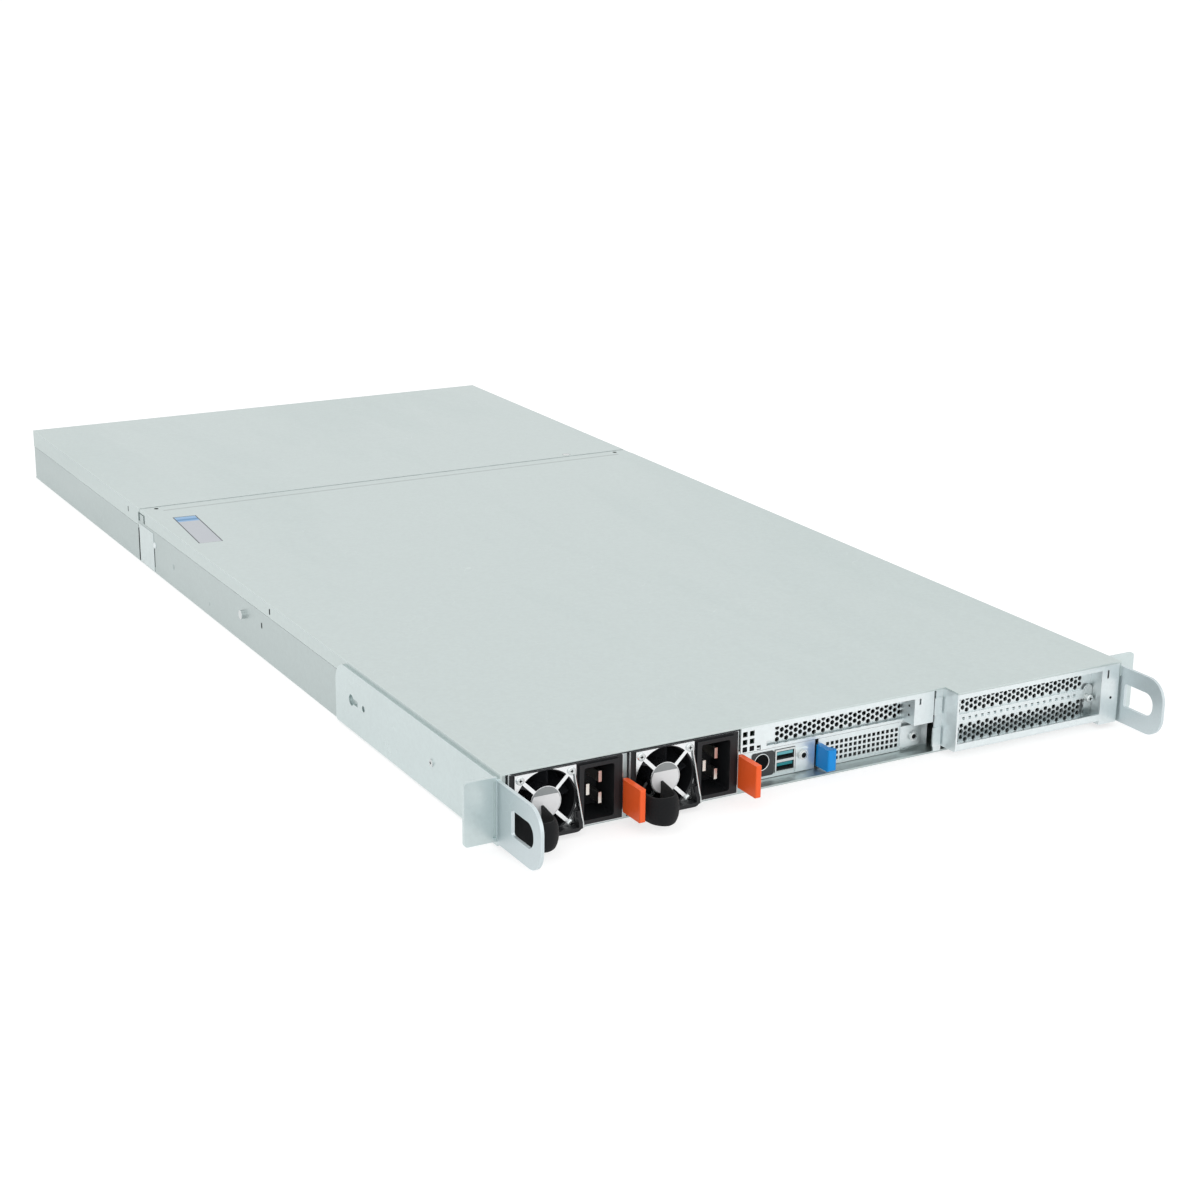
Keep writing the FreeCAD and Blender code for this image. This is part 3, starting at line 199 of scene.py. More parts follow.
crystals, entry, leave = group(
    "zinc_crystals",
    (("Place", "Vector", None), ("Scale", "Float", 160.0), ("Strength", "Float", 0.1)),
    (("Tone", "Float"), ("Relief", "Float")))
cells = node(crystals, "TexVoronoi", (("Vector", entry.outputs["Place"]), ("Scale", entry.outputs["Scale"])))
flecks = node(crystals, "TexNoise", (("Vector", entry.outputs["Place"]),
                                     ("Scale", arithmetic(crystals, "MULTIPLY", entry.outputs["Scale"], 4.0)),
                                     ("Detail", 3.0)))
facet = node(crystals, "SeparateColor", (("Color", cells.outputs["Color"]),)).outputs[0]
both = arithmetic(crystals, "ADD", arithmetic(crystals, "MULTIPLY", facet, 0.6),
                  arithmetic(crystals, "MULTIPLY", flecks.outputs["Fac"], 0.4))
centred = arithmetic(crystals, "SUBTRACT", both, 0.5)
crystals.links.new(arithmetic(crystals, "MULTIPLY", centred, entry.outputs["Strength"]), leave.inputs["Tone"])
crystals.links.new(both, leave.inputs["Relief"])

smears, entry, leave = group(
    "handling_smears",
    (("Place", "Vector", None), ("Scale", "Float", 9.0), ("Stretch", "Float", 1.0), ("Cover", "Float", 0.5)),
    (("Mask", "Float"),))
stretched = node(smears, "CombineXYZ", ((0, 1.0), (1, entry.outputs["Stretch"]), (2, 1.0)))
run = node(smears, "VectorMath", ((0, entry.outputs["Place"]), (1, stretched.outputs[0])),
           operation="MULTIPLY")
cloud = node(smears, "TexNoise", (("Vector", run.outputs[0]), ("Scale", entry.outputs["Scale"]),
                                  ("Detail", 5.0), ("Roughness", 0.62), ("Distortion", 0.4)))
low = arithmetic(smears, "SUBTRACT", 0.72, arithmetic(smears, "MULTIPLY", entry.outputs["Cover"], 0.4))
ramp = node(smears, "MapRange", ((0, cloud.outputs["Fac"]), (1, low),
                                 (2, arithmetic(smears, "ADD", low, 0.22))), clamp=True)
smears.links.new(ramp.outputs[0], leave.inputs["Mask"])

scratches, entry, leave = group(
    "fine_scratches",
    (("Place", "Vector", None), ("Scale", "Float", 40.0), ("Width", "Float", 0.02)),
    (("Mask", "Float"),))
bent = node(scratches, "TexNoise", (("Vector", entry.outputs["Place"]), ("Scale", 6.0), ("Detail", 2.0)),
            noise_dimensions="3D")
push = node(scratches, "VectorMath", ((0, entry.outputs["Place"]), (1, bent.outputs["Color"])),
            operation="ADD")
lines = node(scratches, "TexVoronoi", (("Vector", push.outputs[0]), ("Scale", entry.outputs["Scale"])),
             feature="DISTANCE_TO_EDGE")
thin = node(scratches, "MapRange", ((0, lines.outputs["Distance"]), (1, 0.0), (2, entry.outputs["Width"]),
                                    (3, 1.0), (4, 0.0)), clamp=True)
gaps = node(scratches, "TexNoise", (("Vector", entry.outputs["Place"]), ("Scale", 23.0), ("Detail", 2.0)))
broken = node(scratches, "MapRange", ((0, gaps.outputs["Fac"]), (1, 0.56), (2, 0.66)), clamp=True)
scratches.links.new(arithmetic(scratches, "MULTIPLY", thin.outputs[0], broken.outputs[0]),
                    leave.inputs["Mask"])

# Edges found by the bevel shader: the finishes paint them paler, partly as pale worn or cut material and
# partly as painted highlight.
edges_worn_and_lit, entry, leave = group("edges_worn_and_lit", (("Radius", "Float", 0.0006),), (("Mask", "Float"),))
soft = node(edges_worn_and_lit, "Bevel", (("Radius", entry.outputs["Radius"]),), samples=4)
flat = node(edges_worn_and_lit, "NewGeometry")
facing = node(edges_worn_and_lit, "VectorMath", ((0, soft.outputs[0]), (1, flat.outputs["Normal"])),
              operation="DOT_PRODUCT")
bent_away = node(edges_worn_and_lit, "MapRange", ((0, facing.outputs["Value"]), (1, 1.0), (2, 0.86)), clamp=True)
edges_worn_and_lit.links.new(bent_away.outputs[0], leave.inputs["Mask"])


def tinted(colour, factor):
    return tuple(min(1.0, part * factor) for part in colour[:3]) + (1.0,)


def sheet_steel(name, colour, roughness=0.4, crystal_scale=150.0, crystal_tone=0.16, stretch=0.25,
                edge=0.35, metal=0.85):
    """Zinc-coated or plated sheet: base tone, crystals, smears along the sheet, and edges painted bright,
    partly pale cut metal and partly painted highlight.
    """
    material, tree, shader = new_material(name)
    place = node(tree, "TexCoord").outputs["Object"]
    zinc = use(tree, crystals, Place=place, Scale=crystal_scale, Strength=crystal_tone)
    smear = use(tree, smears, Place=place, Scale=7.0, Stretch=stretch, Cover=0.55)
    scratch = use(tree, scratches, Place=place, Scale=26.0, Width=0.012)
    rim = use(tree, edges_worn_and_lit, Radius=0.0007)
    shade = veiled(tree, smear, 0.4, colour, tinted(colour, 0.95))
    tone = arithmetic(tree, "ADD", zinc.outputs["Tone"], 1.0)
    toned = node(tree, "VectorMath", ((0, shade), ("Scale", tone)), operation="SCALE").outputs[0]
    marked = veiled(tree, scratch, 0.25, toned, tinted(colour, 1.25))
    edged = veiled(tree, rim, edge, marked, tinted(colour, 1.35))
    tree.links.new(edged, shader.inputs["Base Color"])
    smeared = arithmetic(tree, "MULTIPLY", smear.outputs[0], 0.12)
    dulled = arithmetic(tree, "ADD", arithmetic(tree, "MULTIPLY", zinc.outputs["Tone"], 0.5), roughness)
    polished = arithmetic(tree, "MULTIPLY", scratch.outputs[0], 0.1)
    tree.links.new(arithmetic(tree, "SUBTRACT", arithmetic(tree, "ADD", smeared, dulled), polished, True),
                   shader.inputs["Roughness"])
    embossed(tree, shader, zinc.outputs["Relief"], 0.05, 0.0002)
    shader.inputs["Metallic"].default_value = metal
    return material


cover_steel = sheet_steel("cover_steel", ZINC, crystal_scale=420.0, crystal_tone=0.07)
# The walls get the darker copy of the zinc, painted shade, and the frame steel the lighter copy, painted
# light.
shaded_wall_steel = sheet_steel("shaded_wall_steel", ZINC_SHADED_SIDE, roughness=0.36, crystal_scale=420.0, crystal_tone=0.08)
lit_steel = sheet_steel("lit_frame_steel", ZINC_LIT, roughness=0.34, crystal_scale=500.0,
                           crystal_tone=0.08, edge=0.5)
inner_steel = sheet_steel("inner_steel", ZINC_INNER, roughness=0.45)


def paint(material, *names):
    """Gives CAD nodes their finish."""
    for name in names:
        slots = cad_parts[name].material_slots
        for slot in slots:
            slot.link = "DATA"
            slot.material = material
        if not slots:
            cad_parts[name].data.materials.append(material)


paint(cover_steel, "front_cover", "rear_cover")
paint(shaded_wall_steel, "front_tray", "rear_tray", "rear_panel", "psu_bay_walls")
paint(lit_steel, "front_frame", "vent_panel", "slot_cage", "slot_cover_lower", "slot_cover_upper",
      "io_bracket", "adapter_blank")
paint(inner_steel, "splice_plates", "cross_rail", "fan_cage", "board_posts")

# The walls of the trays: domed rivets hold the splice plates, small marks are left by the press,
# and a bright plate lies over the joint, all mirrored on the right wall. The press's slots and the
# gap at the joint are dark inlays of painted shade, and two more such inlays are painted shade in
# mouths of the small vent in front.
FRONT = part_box("left_ear")[0].y
WALL = 219.0
PLATE_THICK = 0.3
SHADE = (0.010, 0.012, 0.014, 1.0)
PLATE = (0.62, 0.69, 0.69, 1.0)
AIM = {"front": (math.pi / 2, 0, 0), "left": (0, -math.pi / 2, 0), "right": (0, math.pi / 2, 0),
       "up": (0, 0, 0)}


def spot(x, y, z):
    """A place in millimetres from the middle of the ear flanges, on the floor."""
    return Vector((x * MM, FRONT + y * MM, z * MM))


def turned(name, radius, height, sides=24):
    """A turned blank standing on the floor at the middle, its axis upright."""
    bpy.ops.object.select_all(action="DESELECT")
    bpy.ops.mesh.primitive_cylinder_add(vertices=sides, radius=radius * MM, depth=height * MM,
                                        location=(0, 0, height / 2 * MM))
    piece = bpy.context.object
    piece.name = name
    bpy.ops.object.transform_apply(location=True, rotation=True, scale=True)
    return piece


def slab(name, low, high):
    """A sawn blank between two corners."""
    bpy.ops.object.select_all(action="DESELECT")
    bpy.ops.mesh.primitive_cube_add(size=1, location=(low + high) / 2)
    piece = bpy.context.object
    piece.name = name
    piece.scale = high - low
    bpy.ops.object.transform_apply(location=True, rotation=True, scale=True)
    return piece


def pick(piece, test, kind="FACE"):
    """Opens a piece in edit mode with its faces, edges or corners selected that pass the test."""
    solo(piece)
    bpy.ops.object.mode_set(mode="EDIT")
    bpy.ops.mesh.select_mode(type=kind)
    bpy.ops.mesh.select_all(action="DESELECT")
    shape = bmesh.from_edit_mesh(piece.data)
    if kind == "FACE":
        for face in shape.faces:
            face.select_set(test(face.calc_center_median(), face.normal))
    if kind == "EDGE":
        for edge in shape.edges:
            first, last = [corner.co for corner in edge.verts]
            edge.select_set(test((first + last) / 2, (last - first).normalized()))
    if kind == "VERT":
        for corner in shape.verts:
            corner.select_set(test(corner.co, None))
    bmesh.update_edit_mesh(piece.data)


def closed():
    """Leaves edit mode."""
    bpy.ops.object.mode_set(mode="OBJECT")


def eased(piece, width, segments=2):
    """Takes the sharp edges off a piece."""
    solo(piece)
    bevel = piece.modifiers.new("edges", "BEVEL")
    bevel.width = width * MM
    bevel.segments = segments
    bevel.limit_method = "ANGLE"
    bevel.angle_limit = math.radians(40)
    bpy.ops.object.modifier_apply(modifier="edges")
    bpy.ops.object.shade_smooth_by_angle(angle=math.radians(38))


def turned_to(piece, place, facing):
    """Aims a piece made upright and sets it in its place."""
    solo(piece)
    piece.rotation_euler = AIM[facing]
    piece.location = place
    bpy.ops.object.transform_apply(location=True, rotation=True, scale=True)
    return piece


def fitted(piece, body, finish):
    piece.data.materials.clear()
    piece.data.materials.append(finish)
    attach(piece, body)
    return piece


def repeated(piece, name, move, body):
    """A second piece like the first, with its own mesh."""
    twin = piece.copy()
    twin.data = piece.data.copy()
    twin.name = name
    twin.data.transform(Matrix.Translation(move))
    bpy.context.scene.collection.objects.link(twin)
    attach(twin, body)
    return twin


def domed(name, radius, height):
    """A pressed dome: a disc whose face is drawn in and raised twice."""
    dome = turned(name, radius, height * 0.4)
    pick(dome, lambda middle, normal: normal.z > 0.9)
    bpy.ops.mesh.inset(thickness=radius * 0.22 * MM)
    bpy.ops.transform.translate(value=(0, 0, height * 0.4 * MM))
    bpy.ops.mesh.inset(thickness=radius * 0.34 * MM)
    bpy.ops.transform.translate(value=(0, 0, height * 0.2 * MM))
    closed()
    solo(dome)
    bpy.ops.object.shade_smooth_by_angle(angle=math.radians(50))
    return dome


def slit(name, width, height, depth=0.06, rounding=0.98):
    """A dark inlay of painted shade in the mouth of a punched slot, its corners rounded, lying flat on its
    sheet.
    """
    mouth = slab(name, Vector((-height / 2, -width / 2, 0)) * MM,
                 Vector((height / 2, width / 2, depth)) * MM)
    pick(mouth, lambda middle, along: abs(along.z) > 0.9, "EDGE")
    bpy.ops.mesh.bevel(offset=min(width, height) / 2 * rounding * MM, segments=4)
    closed()
    return mouth


opening_shade, tree, shader = new_material("opening_shade")
place = node(tree, "TexCoord").outputs["Object"]
dust = use(tree, smears, Place=place, Scale=300.0, Stretch=1.0, Cover=0.5)
tree.links.new(veiled(tree, dust, 0.4, SHADE, tinted(SHADE, 2.2)), shader.inputs["Base Color"])
shader.inputs["Roughness"].default_value = 0.85
shader.inputs["Specular IOR Level"].default_value = 0.05

# The rivets take the lighter copy of the zinc, painted light.
rivet_steel = sheet_steel("rivet_steel", ZINC_LIT, roughness=0.3, crystal_scale=900.0,
                          crystal_tone=0.1, edge=0.6)
tab_steel = sheet_steel("tab_steel", PLATE, roughness=0.34, crystal_scale=420.0, crystal_tone=0.08)
for side, facing in ((-1, "left"), (1, "right")):
    for number, (y, z, radius, height) in enumerate(((590.0, 22.6, 2.4, 1.0), (549.0, 16.0, 2.2, 0.5),
                                                     (470.0, 9.0, 1.6, 0.3))):
        rivet = domed("wall_rivet_%s_%d" % (facing, number), radius, height)
        turned_to(rivet, spot(side * WALL, y, z), facing)
        fitted(rivet, "chassis", rivet_steel if height > 0.6 else shaded_wall_steel)
    for number, (y, z, width, height, body) in enumerate(((363.0, 23.6, 1.8, 4.2, "chassis"),
                                                          (592.0, 12.0, 0.9, 15.0, "chassis"),
                                                          (628.6, 14.0, 3.0, 27.0, "chassis"),
                                                          (347.0, 38.2, 1.8, 4.4, "front_cover"),
                                                          (654.0, 36.6, 1.2, 4.4, "rear_cover"))):
        mouth = slit("wall_slot_%s_%d" % (facing, number), width, height)
        turned_to(mouth, spot(side * WALL, y, z), facing)
        fitted(mouth, body, opening_shade)

for near, facing in ((-WALL - PLATE_THICK, "left"), (WALL, "right")):
    tab = slab("joint_tab_" + facing, spot(near, 592.9, 0.6), spot(near + PLATE_THICK, 626.8, 31.4))
    eased(tab, 0.12, 1)
    fitted(tab, "chassis", tab_steel)
for number, x in enumerate((-57.6, -52.7)):
    mouth = slit("vent_mouth_%d" % number, 3.2, 3.2, rounding=0.3)
    fitted(turned_to(mouth, spot(x, 1.0, 28.3), "front"), "chassis", opening_shade)

# The covers: a paper label lies near the rear left corner of the front cover, bare but for its
# blue band and thin dark border. A shallow line pressed along the cover's rear edge is drawn as a
# dark line of painted shade, a small dome at each end is painted dark as the shade of a dimple, and
# a black strip under its front lip is painted shade of the gap above the supplies.
LABEL_PAPER = (0.50, 0.53, 0.57, 1.0)
LABEL_BAND = (0.07, 0.25, 0.50, 1.0)
LABEL_PALE = (0.24, 0.45, 0.70, 1.0)
LABEL_LINE = (0.035, 0.05, 0.06, 1.0)
LABEL_MIDDLE = spot(-198.5, 549.0, 43.5)
LABEL_TURN = math.radians(-4.5)
FOLD = spot(0, 612.0, 0).y
FOLD_SHADE_WIDTH = 2.4


def within(tree, value, low, high):
    """One between two limits, nought outside them."""
    above = arithmetic(tree, "GREATER_THAN", value, low)
    return arithmetic(tree, "MULTIPLY", above, arithmetic(tree, "LESS_THAN", value, high))


def framed(tree, across, along, half_width, low, high):
    """One inside a rectangle given in millimetres; across is already without its sign."""
    return arithmetic(tree, "MULTIPLY", within(tree, across, -1.0, half_width * MM),
                      within(tree, along, low * MM, high * MM))


labelled_steel = cover_steel.copy()
labelled_steel.name = "labelled_cover_steel"
tree = labelled_steel.node_tree
shader = tree.nodes["Principled BSDF"]
bare = shader.inputs["Base Color"].links[0].from_socket
bare_metal = shader.inputs["Metallic"].default_value
place = node(tree, "TexCoord").outputs["Object"]
squared = node(tree, "Mapping", (("Vector", place), ("Location", LABEL_MIDDLE),
                                 ("Rotation", (0, 0, LABEL_TURN))), vector_type="TEXTURE")
across, along, up = node(tree, "SeparateXYZ", ((0, squared.outputs[0]),)).outputs
across = arithmetic(tree, "ABSOLUTE", across)
on_top = arithmetic(tree, "GREATER_THAN", up, -0.001)
sheet_area = framed(tree, across, along, 9.2, -39.0, 39.0)
inside_border = framed(tree, across, along, 8.3, -38.7, 38.0)
band = within(tree, along, 24.0 * MM, 39.0 * MM)
stripe = within(tree, along, 27.0 * MM, 31.5 * MM)
fibre = use(tree, smears, Place=place, Scale=120.0, Stretch=1.0, Cover=0.5)
sheet = veiled(tree, fibre, 0.3, LABEL_PAPER, tinted(LABEL_PAPER, 1.12))
banded = blended(tree, band, sheet, blended(tree, stripe, LABEL_PALE, LABEL_BAND))
printed = blended(tree, inside_border, LABEL_LINE, banded)
covered = arithmetic(tree, "MULTIPLY", sheet_area, on_top)
left_right, front_back, _ = node(tree, "SeparateXYZ", ((0, place),)).outputs
# A dark line along the fold is painted shade of the pressed step.
pressed = arithmetic(tree, "MULTIPLY", within(tree, left_right, -204.0 * MM, 206.0 * MM), on_top)
off_fold = arithmetic(tree, "ABSOLUTE", arithmetic(tree, "SUBTRACT", front_back, FOLD))
fold_shade = node(tree, "MapRange", ((0, off_fold), (1, 0.0), (2, FOLD_SHADE_WIDTH * MM), (3, 0.8), (4, 0.0)),
            clamp=True)
fold_shaded = blended(tree, arithmetic(tree, "MULTIPLY", fold_shade.outputs[0], pressed), bare, tinted(ZINC, 0.55))
tree.links.new(blended(tree, covered, fold_shaded, printed), shader.inputs["Base Color"])
tree.links.new(arithmetic(tree, "MULTIPLY", arithmetic(tree, "SUBTRACT", 1.0, covered), bare_metal),
               shader.inputs["Metallic"])
paint(labelled_steel, "front_cover")

# A black strip under the cover's front lip is painted shade of the gap between cover and supplies, with a
# fine speckle.
gap_shade_finish, tree, shader = new_material("gap_shade_black")
place = node(tree, "TexCoord").outputs["Object"]
speckle = node(tree, "TexVoronoi", (("Vector", place), ("Scale", 2200.0)))
speckled_shade = blended(tree, speckle.outputs["Distance"], SHADE, tinted(SHADE, 2.5))
tree.links.new(speckled_shade, shader.inputs["Base Color"])
embossed(tree, shader, speckle.outputs["Distance"], 0.4)
shader.inputs["Roughness"].default_value = 0.9
gap_shade_strip = slab("cover_gap_shade", spot(-212.5, -0.4, 41.66), spot(-62.0, 2.4, 42.3))
eased(gap_shade_strip, 0.15, 1)
fitted(gap_shade_strip, "front_cover", gap_shade_finish)
# The dimples at the ends of the line are domes in the dark shade material, painted shade.
for number, x in enumerate((-207.0, 207.0)):
    dimple = domed("seam_dimple_%d" % number, 1.7, 0.2)
    turned_to(dimple, spot(x, 620.0, 43.25), "up")
    fitted(dimple, "front_cover", opening_shade)

# Ears, handles, studs and screws: the ears are bent from thicker plated steel with a satin
# face, the handles are stamped from the same plate, and the turned parts are bright.
PLATED = (0.60, 0.68, 0.68, 1.0)
HANDLE = (0.60, 0.67, 0.69, 1.0)
TURNED = (0.60, 0.63, 0.63, 1.0)
ear_steel = sheet_steel("ear_steel", PLATED, roughness=0.3, crystal_scale=420.0, crystal_tone=0.07,
                        stretch=1.0)
handle_steel = sheet_steel("handle_steel", HANDLE, roughness=0.42, crystal_scale=900.0, crystal_tone=0.06,
                           stretch=1.0, edge=0.6)
turned_steel = sheet_steel("turned_steel", TURNED, roughness=0.25, crystal_scale=1500.0, crystal_tone=0.05,
                           stretch=1.0, edge=0.6, metal=1.0)
paint(ear_steel, "left_ear", "right_ear")
paint(handle_steel, "left_handle", "right_handle")
paint(turned_steel, "rail_studs", "cover_screw", "io_screw", "blank_screw", "slot_retainer")


def screw_head(name, radius, height, finish, crossed=True):
    """A pan head: chamfered rim and a cross or round recess sunk in the face, the recess in the dark shade
    material as painted shade, made upright.
    """
    head = turned(name, radius, height * 0.7, 16)
    pick(head, lambda middle, normal: normal.z > 0.9)
    bpy.ops.mesh.inset(thickness=radius * 0.2 * MM)
    bpy.ops.transform.translate(value=(0, 0, height * 0.3 * MM))
    bpy.ops.mesh.inset(thickness=radius * 0.12 * MM)
    closed()
    reach = radius * 0.75 * MM
    if crossed:
        pick(head, lambda corner, _: corner.z > height * 0.9 * MM and corner.xy.length < reach
             and min(abs(corner.x), abs(corner.y)) > radius * 0.1 * MM, "VERT")
        bpy.ops.transform.resize(value=(0.42, 0.42, 1), center_override=(0, 0, 0))
        closed()
    pick(head, lambda middle, normal: normal.z > 0.9 and middle.xy.length < radius * 0.1 * MM)
    bpy.ops.mesh.extrude_region_move(TRANSFORM_OT_translate={"value": (0, 0, -height * 0.6 * MM)})
    closed()
    head.data.materials.append(finish)
    head.data.materials.append(opening_shade)
    # The faces of the recess take the dark shade material, painted shade.
    for face in head.data.polygons:
        sunk = face.center.z < height * 0.95 * MM and face.center.xy.length < radius * 0.75 * MM
        face.material_index = 1 if sunk and face.normal.z > -0.5 else 0
    return head


def set_screw(name, radius, height, place, facing, body, crossed=True):
    """A bright screw in its place."""
    head = turned_to(screw_head(name, radius, height, turned_steel, crossed), place, facing)
    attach(head, body)
    return head


set_screw("io_screw_face", 2.6, 0.4, spot(-8.8, 10.42, 12.8), "front", "io_screw", crossed=False)
set_screw("blank_screw_face", 2.4, 0.4, spot(73.6, 10.42, 10.2), "front", "blank_screw", crossed=False)
set_screw("left_ear_screw", 2.4, 0.9, spot(-221.0, 84.5, 21.0), "left", "chassis")
set_screw("right_ear_screw", 2.4, 0.9, spot(221.0, 84.5, 21.0), "right", "chassis")
set_screw("retainer_screw_face", 2.6, 1.2, spot(200.0, -6.5, 19.3), "front", "chassis")
# Small dimples on the cage and the bracket are domes in the dark shade material, painted shade of their
# hollows.
dimple = domed("cage_dimple", 0.9, 0.2)
fitted(turned_to(dimple, spot(211.8, -13.0, 20.0), "front"), "chassis", opening_shade)
for number, z in enumerate((27.0, 33.0)):
    dimple = domed("bracket_dimple_%d" % number, 0.8, 0.2)
    fitted(turned_to(dimple, spot(66.0, 6.5, z), "left"), "chassis", opening_shade)

# Mouldings: fan ducts, rotors, lever, tab, button and sockets are injection moulded, with a
# spark-eroded grain, a slight mottle in the colour and edges painted a little paler, partly as
# rubbing wear and partly as painted highlight.
BLACK = (0.013, 0.014, 0.016, 1.0)
ORANGE = (0.95, 0.125, 0.025, 1.0)
BLUE = (0.002, 0.28, 0.76, 1.0)


def moulding(name, colour, roughness=0.45, grain_depth=0.25, edge_wear_and_highlight=1.6, gloss_level=0.3):
    """Moulded plastic; its edge factor sets how much paler the edges are painted, partly as rubbing wear and
    partly as painted highlight.
    """
    material, tree, shader = new_material(name)
    place = node(tree, "TexCoord").outputs["Object"]
    smear = use(tree, smears, Place=place, Scale=60.0, Stretch=1.0, Cover=0.5)
    pits = node(tree, "TexNoise", (("Vector", place), ("Scale", 2600.0), ("Detail", 2.0)))
    rim = use(tree, edges_worn_and_lit, Radius=0.0005)
    shade = veiled(tree, smear, 0.5, colour, tinted(colour, 0.85))
    tree.links.new(veiled(tree, rim, 0.5, shade, tinted(colour, edge_wear_and_highlight)), shader.inputs["Base Color"])
    glossed(tree, shader, smear.outputs[0], 0.12, roughness)
    embossed(tree, shader, pits.outputs["Fac"], grain_depth)
    shader.inputs["Specular IOR Level"].default_value = gloss_level
    return material


black_plastic = moulding("black_plastic", BLACK, edge_wear_and_highlight=3.0)
glossy_black = moulding("glossy_black", tinted(BLACK, 1.3), roughness=0.25, grain_depth=0.1, edge_wear_and_highlight=3.0)
button_black = moulding("button_black", tinted(BLACK, 0.35), roughness=0.6, grain_depth=0.1, edge_wear_and_highlight=4.0,
                        gloss_level=0.06)
orange_plastic = moulding("orange_plastic", ORANGE, roughness=0.38, edge_wear_and_highlight=1.9)
blue_plastic = moulding("blue_plastic", BLUE, roughness=0.35, edge_wear_and_highlight=1.7)
for number in ("1", "2"):
    paint(black_plastic, "psu_" + number + "_front")
    paint(glossy_black, "psu_" + number + "_rotor")
    paint(orange_plastic, "psu_" + number + "_lever")
paint(blue_plastic, "pull_tab")
paint(button_black, "power_button")
paint(black_plastic, "fan_frames", "memory_sockets")
paint(glossy_black, *["fan_rotor_" + str(k) for k in range(1, 7)])

# Power supply shells and guards: nickel-bright sheet. The guards are stamped and polished by
# tumbling, and the blades in the inlets are plated brass.
SHELL = (0.62, 0.65, 0.66, 1.0)
GUARD = (0.80, 0.82, 0.83, 1.0)
BRASS = (0.74, 0.73, 0.68, 1.0)
shell_steel = sheet_steel("shell_steel", SHELL, roughness=0.3, crystal_scale=500.0, crystal_tone=0.1)
guard_steel = sheet_steel("guard_steel", GUARD, roughness=0.22, crystal_scale=800.0, crystal_tone=0.1,
                          stretch=1.0, edge=0.5, metal=1.0)
plated_brass = sheet_steel("plated_brass", BRASS, roughness=0.3, crystal_scale=900.0, crystal_tone=0.06,
                           stretch=1.0, edge=0.4, metal=1.0)
for number in ("1", "2"):
    paint(shell_steel, "psu_" + number + "_case")
    paint(guard_steel, "psu_" + number + "_guard")
    paint(plated_brass, "psu_" + number + "_blades")
paint(turned_steel, "usb_block")

# The front of each power supply: four cross-recess screws hold the finger guard, a plain white
# label is stuck on its hub, and a sprung wire clip for the cord hangs beside the inlet.
LABEL_WHITE = (0.86, 0.87, 0.88, 1.0)
white_label, tree, shader = new_material("white_label")
place = node(tree, "TexCoord").outputs["Object"]
worn = use(tree, smears, Place=place, Scale=90.0, Stretch=1.0, Cover=0.5)
grain = node(tree, "TexNoise", (("Vector", place), ("Scale", 1800.0), ("Detail", 3.0)))
tree.links.new(veiled(tree, worn, 0.5, LABEL_WHITE, tinted(LABEL_WHITE, 0.9)), shader.inputs["Base Color"])
glossed(tree, shader, worn.outputs[0], 0.2, 0.4)
embossed(tree, shader, grain.outputs["Fac"], 0.15)

SUPPLY_LEFT = -213.4
SPACING = 77.8
HUB = (SUPPLY_LEFT + 22.6, 21.6)
GUARD_FACE = -0.6


def on_second(piece):
    """The like piece of the second supply."""
    return repeated(piece, piece.name.replace("psu_1", "psu_2"), (SPACING * MM, 0, 0), "psu_2")


smoked_grey = moulding("smoked_grey", (0.30, 0.32, 0.325, 1.0), roughness=0.25, edge_wear_and_highlight=1.3)
cap = domed("psu_1_hub_cap", 9.5, 0.35)
turned_to(cap, spot(HUB[0], GUARD_FACE, HUB[1]), "front")
on_second(fitted(cap, "psu_1", smoked_grey))
label = turned("psu_1_label", 9.0, 0.14, 48)
pick(label, lambda middle, normal: True)
bpy.ops.mesh.bisect(plane_co=(0, 4.6 * MM, 0), plane_no=(0, 1, 0), use_fill=True, clear_outer=True)
closed()
eased(label, 0.04, 1)
turned_to(label, spot(HUB[0], GUARD_FACE - 0.3, HUB[1]), "front")
on_second(fitted(label, "psu_1", white_label))

for number, (x, z) in enumerate(((-16.2, 16.0), (16.2, 16.0), (-16.2, -16.0), (16.2, -16.0))):
    place = spot(HUB[0] + x, GUARD_FACE, HUB[1] + z)
    on_second(set_screw("psu_1_screw_%d" % number, 2.5, 1.0, place, "front", "psu_1"))

CLIP_ROUTE = ((40.6, -0.9, 38.6), (40.9, -1.2, 33.0), (42.2, -1.6, 27.0), (43.4, -2.0, 19.0),
              (43.9, -3.6, 12.0), (44.2, -5.0, 6.5), (44.4, -5.2, 3.6))
SLEEVE_ROUTE = ((42.0, -2.4, 13.5), (42.4, -3.2, 10.0), (42.9, -4.0, 6.5), (43.2, -4.2, 3.4))


def wire(name, route, thick):
    """A round wire bent smoothly along a route given from the supply's left edge."""
    curve = bpy.data.curves.new(name, "CURVE")
    curve.dimensions = "3D"
    curve.bevel_depth = thick / 2 * MM
    curve.bevel_resolution = 2
    curve.resolution_u = 6
    curve.use_fill_caps = True
    line = curve.splines.new("NURBS")
    line.points.add(len(route) - 1)
    line.order_u = 3
    line.use_endpoint_u = True
    for point, (x, y, z) in zip(line.points, route):
        point.co = (*spot(SUPPLY_LEFT + x, y, z), 1.0)
    bent = bpy.data.objects.new(name, curve)
    bpy.context.scene.collection.objects.link(bent)
    solo(bent)
    bpy.ops.object.convert(target="MESH")
    bpy.ops.object.shade_smooth_by_angle(angle=math.radians(50))
    return bpy.context.object


on_second(fitted(wire("psu_1_clip", CLIP_ROUTE, 1.4), "psu_1", turned_steel))
on_second(fitted(wire("psu_1_clip_sleeve", SLEEVE_ROUTE, 3.4), "psu_1", black_plastic))

